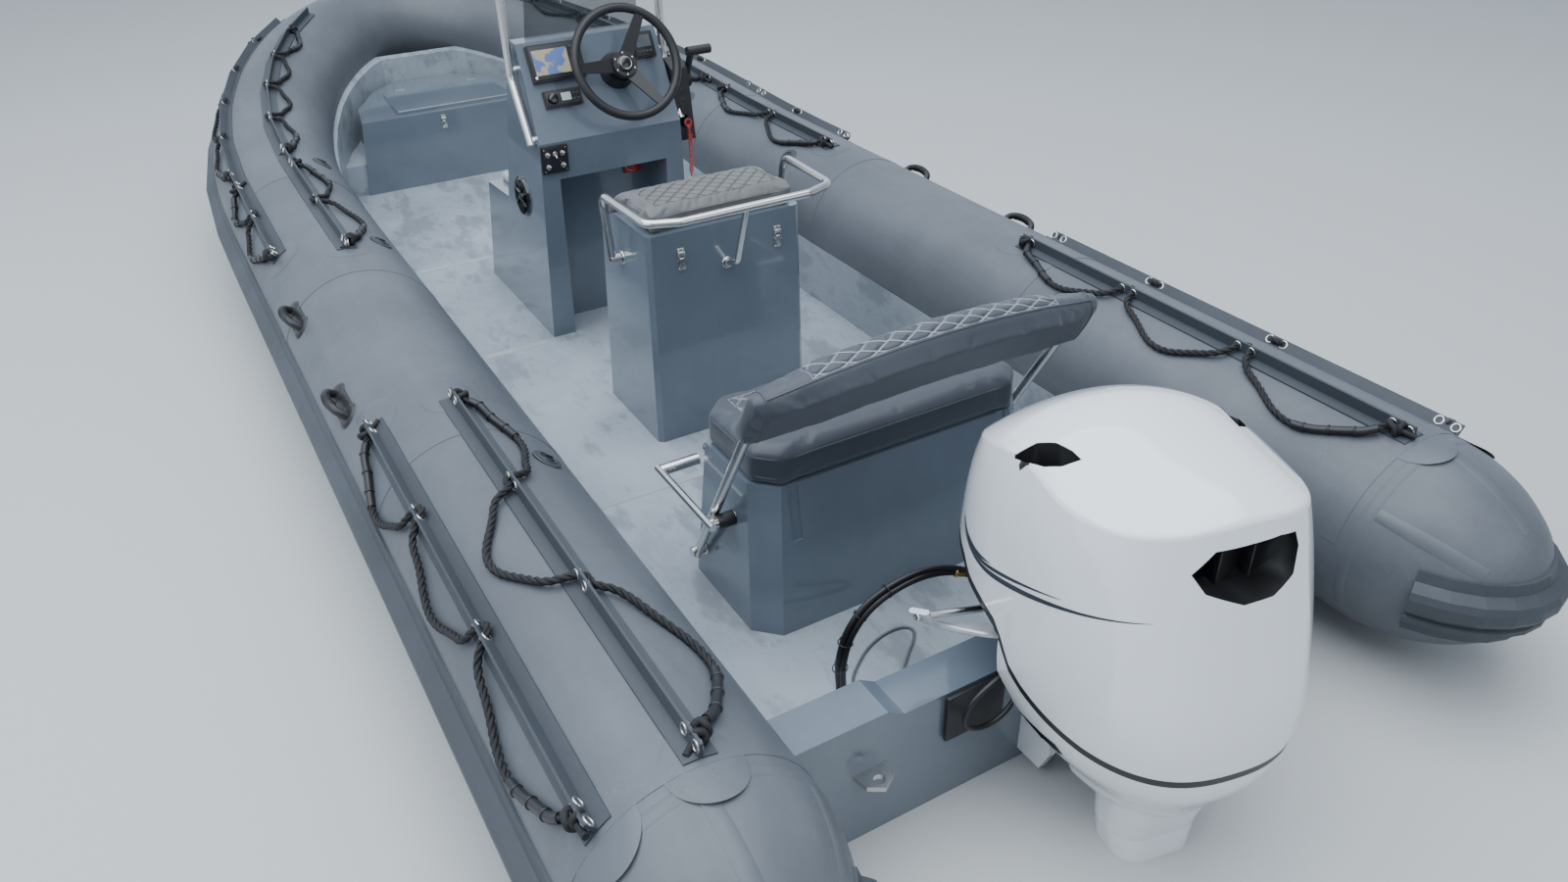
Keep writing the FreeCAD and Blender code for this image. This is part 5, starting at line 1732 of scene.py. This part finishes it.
    def console_sides(self) -> None:
        """Make the speaker, the battery switch and the fore seat's pad."""
        tree = surface_of("console_shell")
        hit, normal, _, _ = tree.ray_cast((0.085, 0.6, 0.525), (0, -1, 0))
        here = facing(hit, normal, (0, 0, 1))
        ring = Former()
        rows = ((0.0003, 0.004), (0.030, 0.004), (0.052, 0.005), (0.060, 0.009), (0.0655, 0.010), (0.071, 0.007))
        ring.lathe((*rows, (0.073, -0.001)), here)
        for k in range(6):
            a = math.radians(60 * k + 15)
            spoke = ((0.016, 0.0, 0.008), (0.040, 0.25, 0.011), (0.060, 0.4, 0.0095))
            bent = [here @ Vector((r * math.cos(a + turn), r * math.sin(a + turn), z)) for r, turn, z in spoke]
            ring.pipe(bent, 0.0042, sides=2)
        ring.drum(0.018, 0.012, 0.010, here @ at(0, 0, 0.003), 0.003, 32)
        ring.piece("speaker", GLOSS)
        hit, normal, _, _ = tree.ray_cast((-0.4, -0.135, 0.585), (1, 0, 0))
        here = facing(hit, normal, (0, 0, 1))
        Former().box((0.066, 0.066, 0.010), here, 0.004).piece("battery_switch_base", RED)
        knob = Former()
        knob.drum(0.022, 0.020, 0.014, here @ at(0, 0, 0.0095), 0.003, 36)
        knob.box((0.008, 0.040, 0.010), here @ at(0, 0, 0.020) @ Matrix.Rotation(0.6, 4, "Z"), 0.002)
        knob.piece("battery_switch_knob", RED)
        Former().ring(0.0245, 0.0014, here @ at(0, 0, 0.0105)).piece("battery_switch_ring", PALE)
        down = tree.ray_cast((0.38, 0.0, 0.8), (0, 0, -1))[0]
        where = at(0.385, 0, down.z - 0.004) @ Matrix.Rotation(math.radians(3.6), 4, "Y")
        soft = Former().box((0.225, 0.44, 0.034), where, 0.014, 5).piece("fore_seat_pad", PALE_HIDE)

    def latch(self, form: Former, where: Matrix, tall: float = 0.052) -> None:
        """Add a lever latch across a joint: two plates, a loop and a lever.

        Args:
            form: Where the latch goes.
            where: Its middle.
            tall: Its height.
        """
        form.box((0.026, tall * 0.50, 0.0025), where @ at(0, -tall * 0.27, 0), 0.0008)
        form.box((0.024, tall * 0.34, 0.0025), where @ at(0, tall * 0.34, 0), 0.0008)
        form.box((0.016, tall * 0.50, 0.006), where @ at(0, -tall * 0.16, 0.0025), 0.0018)
        for x in (-0.0095, 0.0095):
            wire = ((x, -tall * 0.10, 0.008), (x, tall * 0.12, 0.0095), (x, tall * 0.34, 0.006))
            form.pipe([where @ Vector(p) for p in wire], 0.0016, sides=1)
        bar = ((-0.0095, tall * 0.34, 0.006), (0.0095, tall * 0.34, 0.006))
        form.pipe([where @ Vector(p) for p in bar], 0.0019, sides=1, smooth=False)
        for x, y in ((-0.008, -0.44), (0.008, -0.44), (-0.007, 0.44), (0.007, 0.44)):
            form.drum(0.0026, 0.0020, 0.0012, where @ at(x, y * tall, 0.0024), 0.0004, 10)

    def seat_fittings(self) -> None:
        """Make the jockey seat's latches, strap tabs and rail flanges."""
        tree = surface_of("seat_box")
        latches, tabs, bolts, feet = Former(), Former(), Former(), Former()
        for y in (0.150, -0.172):
            hit = tree.ray_cast((-1.4, y, 0.62), (1, 0, 0))[0]
            self.latch(latches, facing((hit.x - 0.0003, y, 0.640), (-1, 0, 0)), 0.066)
        lid = surface_of("seat_lid")
        for y in (0.222, -0.232):
            hit = lid.ray_cast((-1.4, y, 0.66), (1, 0, 0))[0]
            here = facing((hit.x - 0.0002, y, 0.0), (-1, 0, 0))
            turns = [math.radians(a) for a in range(15, 180, 15)]
            rows = [(-0.013 * math.cos(a), 0.660 - 0.013 * math.sin(a)) for a in turns]
            rows = [(-0.013, 0.722), (-0.013, 0.660), *rows, (0.013, 0.660), (0.013, 0.722)]
            tabs.plate(rows, 0.0022, here, 0.0006)
            bolts.drum(0.0050, 0.0042, 0.0026, here @ at(0, 0.660, 0.0022), 0.0008, 18)
        tabs.piece("seat_tabs", TAB, "seat_lid")
        bolts.piece("seat_tab_bolts", STEEL, "seat_lid")
        for side in (1, -1):
            hit = tree.ray_cast((-0.77, side * 0.6, 0.600), (0, -side, 0))[0]
            feet.drum(0.021, 0.019, 0.004, facing((-0.77, hit.y, 0.600), (0, side, 0)), 0.001, 36)
        hit = tree.ray_cast((-1.4, 0.0, 0.595), (1, 0, 0))[0]
        feet.drum(0.019, 0.017, 0.004, facing((hit.x, 0.0, 0.595), (-1, 0, 0)), 0.001, 36)
        feet.piece("seat_rail_flanges", STEEL)
        latches.piece("seat_latches", STEEL)

    def bench_fittings(self) -> None:
        """Make the bench's latch, the stop bars' black sleeves and the pivots' washers."""
        tree = surface_of("bench_box")
        sleeves, latch, washers = Former(), Former(), Former()
        for side in (1, -1):
            hit = tree.ray_cast((-1.749, side * 0.8, 0.310), (0, -side, 0))[0]
            base = hit.y if hit is not None else side * 0.44
            reach = 0.465 - abs(base)
            if reach > 0.005:
                sleeves.drum(0.0195, 0.0185, reach, facing((-1.749, base, 0.310), (0, side, 0)), 0.002)
            hit = tree.ray_cast((-1.61, side * 0.8, 0.13), (0, -side, 0))[0]
            if hit is not None:
                washers.drum(0.020, 0.018, 0.003, facing((-1.61, hit.y, 0.13), (0, side, 0)), 0.0008, 32)
            hit, normal, _, _ = tree.ray_cast((-1.565, side * 0.8, 0.405), (0, -side, 0))
            if hit is not None:
                self.latch(latch, facing(hit, normal), 0.044)
        sleeves.piece("stop_sleeves", BLACK)
        latch.piece("bench_latches", STEEL)
        washers.piece("pivot_washers", STEEL)

    def locker_fittings(self) -> None:
        """Make the bow locker's hinges and its hasp."""
        tree = surface_of("bow_locker")
        hinges, hasp = Former(), Former()
        for y in (0.13, -0.13):
            hit = tree.ray_cast((2.20, y, 0.8), (0, 0, -1))[0]
            here = at(2.203, y, hit.z)
            hinges.box((0.026, 0.050, 0.0022), here, 0.0007)
            for dy in (-0.017, 0.017):
                hinges.drum(0.0028, 0.0022, 0.0014, here @ at(0.005, dy, 0.0021), 0.0004, 12)
        hinges.piece("locker_hinges", STEEL)
        hit, normal, _, _ = tree.ray_cast((1.2, 0.087, 0.340), (1, 0, 0))
        if hit is not None:
            self.latch(hasp, facing((hit.x - 0.0003, 0.087, 0.330), normal), 0.060)
        hasp.piece("locker_hasp", STEEL)

    def deck_strips(self) -> None:
        """Lay the smooth strips across the deck's grip."""
        tree = surface_of("deck_liner")
        form = Former()
        strips = (
            (0.745, 0.39, 0.31), (0.745, -0.39, 0.31), (-0.118, 0.435, 0.23), (-0.118, -0.435, 0.23),
            (-1.18, 0.0, 1.12),
        )
        for x, y, width in strips:
            hit = tree.ray_cast((x, y, 0.30), (0, 0, -1))[0]
            if hit is not None:
                form.box((0.030, width, 0.0012), at(x, y, hit.z), 0.0005, 1)
        form.piece("deck_strips", STRIP)


# ---------------------------------------------------------------- stern and motor


class Opening(Enum):
    """Which way a pocket of the motor opens, as the order of the axes: across, up and out."""

    AFT = (1, 2, 0)
    SIDE = (0, 2, 1)
    TOP = (0, 1, 2)


class Stern:
    """The hoses, the link casting, the painted shade in the motor's pockets, and its stripes."""

    STEER_AXIS = -2.665
    REST_TURN = -12.0
    TURN = at(STEER_AXIS, 0, 0) @ Matrix.Rotation(math.radians(REST_TURN), 4, "Z") @ at(-STEER_AXIS, 0, 0)
    POCKET_MARGIN = 0.003
    POCKET_DEPTH = 0.16
    FLOOR_NEAR = 0.004
    WALL_LEAN = 0.6
    SKIN = 0.0007

    SECTION = ((-1, -0.5), (-0.8, -1), (0.8, -1), (1, -0.5), (1, 0.5), (0.8, 1), (-0.8, 1), (-1, 0.5))

    def build(self) -> None:
        """Make them all."""
        self.paint_pocket_shade()
        self.stripes()
        self.hoses()
        self.link()

    def cup(
        self, form: Former, outline: Sequence[tuple[float, float]], depth: float, opening: Opening, side: int, node: str
    ) -> None:
        """Paint shade into a pocket of the cowl: a near-black skin over its floor and walls.

        Args:
            form: Where the painted shade goes.
            outline: The pocket's corners in the motor's own frame.
            depth: The floor's place along the pocket's axis.
            opening: The way that the pocket opens.
            side: 1 or -1, its sign.
            node: The solid that has the pocket.
        """
        across, up, outward = opening.value
        mid = tuple(sum(p[k] for p in outline) / len(outline) for k in (0, 1))
        grow = [1 + self.POCKET_MARGIN / math.dist(p, mid) for p in outline]
        wide = [tuple(mid[k] + (p[k] - mid[k]) * share for k in (0, 1)) for p, share in zip(outline, grow)]
        part = bmesh.new()
        part.from_mesh(bpy.data.objects[node].data)
        bmesh.ops.remove_doubles(part, verts=part.verts, dist=MERGE)
        back = self.TURN.inverted()
        spare = []
        for face in part.faces:
            spot = back @ face.calc_center_median()
            lean = (back.to_3x3() @ face.normal)[outward] * side
            out = (spot[outward] - depth) * side
            a, b = spot[across], spot[up]
            inside = False
            for (x1, y1), (x2, y2) in zip(wide, wide[1:] + wide[:1]):
                if (y1 > b) != (y2 > b) and a < (x2 - x1) * (b - y1) / (y2 - y1) + x1:
                    inside = not inside
            lined = out < self.FLOOR_NEAR or abs(lean) < self.WALL_LEAN
            if not (inside and lined and -self.FLOOR_NEAR < out < self.POCKET_DEPTH):
                spare.append(face)
        bmesh.ops.delete(part, geom=spare, context="FACES")
        part.normal_update()
        for vertex in part.verts:
            vertex.co += vertex.normal * self.SKIN
        form.take(part)

    def paint_pocket_shade(self) -> None:
        """Paint shade into the shoulder intakes, the rear vent and the lower slots as a near-black skin, and add the
        vent fins.
        """
        shoulder = [
            (-2.512, 0.230), (-2.528, 0.196), (-2.560, 0.176), (-2.600, 0.166), (-2.628, 0.164), (-2.614, 0.194),
            (-2.588, 0.214), (-2.550, 0.228),
        ]
        vent = [
            (0.105, 0.782), (0.065, 0.819), (-0.060, 0.822), (-0.097, 0.816), (-0.106, 0.788), (-0.094, 0.742),
            (-0.050, 0.717), (0.010, 0.715), (0.082, 0.747),
        ]
        slot = [
            (-2.800, 0.318), (-2.786, 0.334), (-2.700, 0.322), (-2.664, 0.312), (-2.660, 0.300), (-2.672, 0.292),
            (-2.720, 0.294), (-2.780, 0.304),
        ]
        form = Former()
        for side in (1, -1):
            self.cup(form, [(x, side * y) for x, y in shoulder], 0.745, Opening.TOP, 1, "upper_cowl")
        self.cup(form, vent, -2.852, Opening.AFT, -1, "upper_cowl")
        # This near-black skin is painted shade in the intakes and the rear vent.
        form.piece("intake_liners", SHADE_AND_FIN_BLACK, "motor", sharp=40.0)
        low = Former()
        for side in (1, -1):
            self.cup(low, slot, side * 0.232, Opening.SIDE, side, "lower_cowl")
        # This near-black skin is painted shade in the lower slots.
        low.piece("slot_liners", SHADE_AND_FIN_BLACK, "motor", sharp=40.0)
        fin = Former()
        for a in (0.045, -0.020):
            fin.box((0.030, 0.0035, 0.070), self.TURN @ at(-2.866, a, 0.738), 0.0012)
        fin.piece("vent_fins", SHADE_AND_FIN_BLACK, "motor")

    def stripes(self) -> None:
        """Lay the two plain tapering stripes on each side of the cowl."""
        tree = surface_of("upper_cowl")
        form = Former()
        lines = (
            (
                [
                    (-2.372, 0.565), (-2.415, 0.553), (-2.47, 0.549), (-2.52, 0.556), (-2.58, 0.575), (-2.65, 0.602),
                    (-2.72, 0.630), (-2.80, 0.660), (-2.885, 0.690),
                ],
                0.0052,
            ),
            (
                [
                    (-2.368, 0.580), (-2.40, 0.562), (-2.45, 0.556), (-2.50, 0.562), (-2.56, 0.582), (-2.62, 0.606),
                    (-2.68, 0.631), (-2.745, 0.656),
                ],
                0.0036,
            ),
            (
                [(-2.368, 0.590), (-2.385, 0.575), (-2.41, 0.565), (-2.45, 0.562), (-2.49, 0.568), (-2.53, 0.580)],
                0.0050,
            ),
        )
        for side in (1, -1):
            for path, wide in lines:
                route = smooth_path([(x, 0.0, z) for x, z in path], 8)
                part = bmesh.new()
                last = None
                for k, spot in enumerate(route):
                    ahead = route[min(k + 1, len(route) - 1)] - route[max(k - 1, 0)]
                    across = Vector((-ahead.z, 0, ahead.x)).normalized()
                    share = k / (len(route) - 1)
                    half = wide * math.sin(math.pi * min(1.0, max(0.02, share))) ** 0.7 + 0.0003
                    pair = []
                    for way in (1, -1):
                        flat = spot + across * half * way
                        start = self.TURN @ Vector((flat.x, side * 0.6, flat.z))
                        aim = self.TURN.to_3x3() @ Vector((0, -side, 0))
                        hit, normal, _, _ = tree.ray_cast(start, aim)
                        pair.append(part.verts.new(hit + normal * self.SKIN) if hit is not None else None)
                    if last is not None and None not in pair and None not in last:
                        corners = (last[0], last[1], pair[1], pair[0])
                        part.faces.new(corners if side > 0 else (corners[0], *reversed(corners[1:])))
                    last = pair
                form.take(part)
        form.piece("cowl_stripes", DARK_STRIPE, "motor", sharp=60.0)

    def hoses(self) -> None:
        """Make the rigging hose, the loose cable and the small loop."""
        route = [
            (-2.215, 0.395, 0.046), (-2.222, 0.400, 0.105), (-2.236, 0.414, 0.170), (-2.250, 0.422, 0.235),
            (-2.254, 0.405, 0.310),
            (-2.256, 0.350, 0.372), (-2.258, 0.250, 0.398), (-2.262, 0.160, 0.386), (-2.300, 0.100, 0.372),
            (-2.370, 0.062, 0.366), (-2.440, 0.050, 0.366),
        ]
        line = smooth_path(route, 10)
        for offset, radius, name in (
            ((0.0, 0.0, 0.0), 0.0085, "rigging_hose"), ((0.004, 0.010, 0.013), 0.0065, "fuel_hose"),
        ):
            path = [p + Vector(offset) for p in line]
            form = Former()
            form.pipe(path[::2] + [path[-1]], radius, sides=4)
            made = form.piece(name, HOSE, "", sharp=60.0)
            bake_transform(made)
            lay_cord(made, path)
        ties = Former()
        for k in (22, 34, 44, 54):
            axis = (line[k + 1] - line[k - 1]).normalized()
            here = facing(line[k] + Vector((0.002, 0.005, 0.0065)), axis, (1, 0, 0.1))
            ties.ring(0.0175, 0.0014, here, 0.85, 28)
            ties.box((0.006, 0.005, 0.007), here @ at(0.0, 0.0165, -0.0035), 0.001)
        made = ties.piece("hose_ties", BLACK, "")
        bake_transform(made)
        spot = 74
        axis = (line[spot + 1] - line[spot - 1]).normalized()
        brass = Former()
        brass.drum(0.0115, 0.0105, 0.030, facing(line[spot], axis, (0, 0, 1)), 0.0014, 28)
        brass.ring(0.0112, 0.0016, facing(line[spot] + axis * 0.004, axis), 1.0, 28)
        made = brass.piece("hose_fitting", BRASS, "")
        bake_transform(made)
        rows = ((0.010, 0.014), (0.018, 0.012), (0.030, 0.005), (0.033, 0.0), (0.033, -0.002))
        Former().lathe(rows, at(-2.213, 0.399, 0.0452)).piece("deck_gland", BLACK)
        flat = (
            (-2.185, 0.345), (-2.150, 0.330), (-2.115, 0.290), (-2.080, 0.240), (-2.058, 0.180), (-2.056, 0.120),
            (-2.080, 0.098), (-2.112, 0.120), (-2.150, 0.170), (-2.195, 0.215),
        )
        self.cable("well_cable", [(x, y, 0.0492) for x, y in flat], 0.0036, CABLE)
        ring = [
            (-2.538, 0.140, 0.345), (-2.548, 0.205, 0.352), (-2.552, 0.262, 0.345), (-2.552, 0.316, 0.314),
            (-2.550, 0.332, 0.268),
            (-2.550, 0.306, 0.232), (-2.552, 0.262, 0.222), (-2.554, 0.218, 0.240), (-2.548, 0.186, 0.276),
            (-2.538, 0.140, 0.310),
        ]
        self.cable("bracket_hose", ring, 0.0060, HOSE)

    def cable(
        self, name: str, route: Sequence[Point], radius: float, finish: Finish
    ) -> None:
        """Make a plain free hose or cable that goes back into the boat.

        Args:
            name: The piece's name.
            route: The points that it follows.
            radius: Its radius.
            finish: Its finish.
        """
        line = smooth_path(route, 10)
        form = Former().pipe(line[::2] + [line[-1]], radius)
        lay_cord(form.piece(name, finish, sharp=60.0), line)

    def link(self) -> None:
        """Make the cast link that holds the steering rod's end, and the transom's black pad."""
        casting = Former()
        spine = [
            (-2.505, 0.175, 0.398), (-2.480, 0.215, 0.402), (-2.455, 0.250, 0.404), (-2.432, 0.285, 0.408),
            (-2.418, 0.315, 0.420),
            (-2.412, 0.338, 0.440), (-2.410, 0.348, 0.462),
        ]
        route = smooth_path(spine, 8)
        part = bmesh.new()
        rings = []
        for k, spot in enumerate(route):
            along = (route[min(k + 1, len(route) - 1)] - route[max(k - 1, 0)]).normalized()
            flat = Vector((0.86, 0.5, 0)).cross(along).normalized()
            wide = along.cross(flat).normalized()
            share = k / (len(route) - 1)
            half_w, half_t = 0.017 + 0.006 * math.cos(share * 6.2), 0.0065
            rings.append([part.verts.new(spot + wide * half_w * a + flat * half_t * b) for a, b in self.SECTION])
        for one, two in zip(rings, rings[1:]):
            for k in range(8):
                n = (k + 1) % 8
                part.faces.new((one[k], one[n], two[n], two[k]))
        part.faces.new(rings[0])
        part.faces.new(rings[-1])
        bmesh.ops.recalc_face_normals(part, faces=part.faces)
        casting.take(part)
        casting.drum(0.014, 0.013, 0.026, facing((-2.497, 0.188, 0.385), (0, 0, 1), (1, 0, 0)), 0.002, 28)
        casting.piece("link_casting", CASTING, "swivel")
        rod = Former()
        rod.pipe(
            [(-2.443, 0.185, 0.425), (-2.436, 0.215, 0.428), (-2.418, 0.300, 0.440), (-2.410, 0.352, 0.450)], 0.0078,
            sides=4, smooth=False,
        )
        rod.drum(0.0105, 0.0100, 0.010, facing((-2.410, 0.346, 0.449), (0.1, 1, 0.15), (0, 0, 1)), 0.0012, 6)
        rod.piece("link_rod", STEEL, "swivel")
        Former().box((0.010, 0.150, 0.120), at(-2.508, 0.265, 0.180)).piece("transom_pad", BLACK)


# ---------------------------------------------------------------- scene


@dataclass
class Studio:
    """The pale floor at the waterline, the soft light and the camera of the photograph."""

    place: Point = (-3.80, 1.455, 1.99)
    heading: float = -30.0
    pitch: float = 32.5
    roll: float = 1.0
    lens: float = 26.5
    floor_size: float = 60.0
    air: tuple[float, float, float, float] = (0.72, 0.83, 0.98, 1.0)
    tint: Colour = (0.88, 0.94, 1.0)

    def build(self) -> None:
        """Make the floor, the lights and the camera."""
        shape = bmesh.new()
        bmesh.ops.create_grid(shape, x_segments=1, y_segments=1, size=self.floor_size / 2)
        mesh = bpy.data.meshes.new("studio_floor")
        shape.to_mesh(mesh)
        shape.free()
        floor = bpy.data.objects.new("studio_floor", mesh)
        bpy.context.collection.objects.link(floor)
        mesh.materials.append(STUDIO.material())
        self.light("sky_soft", (-1.0, 1.0, 6.0), (0.0, 0.0, 0.0), 9.0, 820.0)
        self.light("side_soft", (-3.0, 6.5, 3.2), (-0.5, 0.0, 0.3), 5.0, 110.0)
        self.light("stern_soft", (-8.0, -2.5, 3.6), (-1.5, 0.0, 0.3), 4.0, 60.0)
        world = bpy.data.worlds.new("studio_air")
        bpy.context.scene.world = world
        world.use_nodes = True
        nodes, links = world.node_tree.nodes, world.node_tree.links
        back = nodes["Background"]
        back.inputs["Color"].default_value = self.air
        place = nodes.new("ShaderNodeTexCoord")
        parts = nodes.new("ShaderNodeSeparateXYZ")
        ahead = nodes.new("ShaderNodeMapRange")
        for name, value in (("From Min", -0.4), ("From Max", 0.9), ("To Min", 0.45), ("To Max", 1.35)):
            ahead.inputs[name].default_value = value
        links.new(place.outputs["Generated"], parts.inputs[0])
        links.new(parts.outputs["X"], ahead.inputs["Value"])
        links.new(ahead.outputs["Result"], back.inputs["Strength"])
        self.camera()

    def light(self, name: str, place: Point, aim: Point, size: float, power: float) -> None:
        """Add a square soft light.

        Args:
            name: The light's name.
            place: Where it stands.
            aim: What it points at.
            size: Its side.
            power: Its power in watts.
        """
        data = bpy.data.lights.new(name, "AREA")
        data.shape = "SQUARE"
        data.size = size
        data.energy = power
        data.color = self.tint
        lamp = bpy.data.objects.new(name, data)
        lamp.location = place
        lamp.rotation_euler = (Vector(aim) - Vector(place)).to_track_quat("-Z", "Y").to_euler()
        bpy.context.collection.objects.link(lamp)

    def camera(self) -> None:
        """Place the camera by heading, pitch and roll."""
        h, p, r = (math.radians(a) for a in (self.heading, self.pitch, self.roll))
        ahead = Vector((math.cos(p) * math.cos(h), math.cos(p) * math.sin(h), -math.sin(p)))
        right = Vector((math.sin(h), -math.cos(h), 0.0))
        down = ahead.cross(right)
        right_rolled = math.cos(r) * right + math.sin(r) * down
        down_rolled = -math.sin(r) * right + math.cos(r) * down
        turn = Matrix((right_rolled, -down_rolled, -ahead)).transposed()
        data = bpy.data.cameras.new("photograph_view")
        data.lens = self.lens
        data.sensor_width = 36.0
        eye = bpy.data.objects.new("photograph_view", data)
        eye.matrix_world = Matrix.Translation(Vector(self.place)) @ turn.to_4x4()
        bpy.context.collection.objects.link(eye)
        bpy.context.scene.camera = eye


def dress_nodes(frame: dict[str, Any]) -> None:
    """Give each carried-over solid the finish of its material slot.

    Args:
        frame: What the frame's load call returned.
    """
    for part in frame["record"]["subparts"]:
        name = part["node"]
        solid = frame["nodes"][name]
        solid.data.materials.clear()
        solid.data.materials.append(NODE_FINISHES[part["material_slot"]].material())


def main() -> None:
    """Build everything in order."""
    logging.basicConfig(level=logging.INFO, format="%(name)s: %(message)s")
    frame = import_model()
    Studio().build()
    dress_nodes(frame)
    Collar().build()
    Upholstery().build()
    Fittings().build()
    Stern().build()


if __name__ == "__main__":
    main()
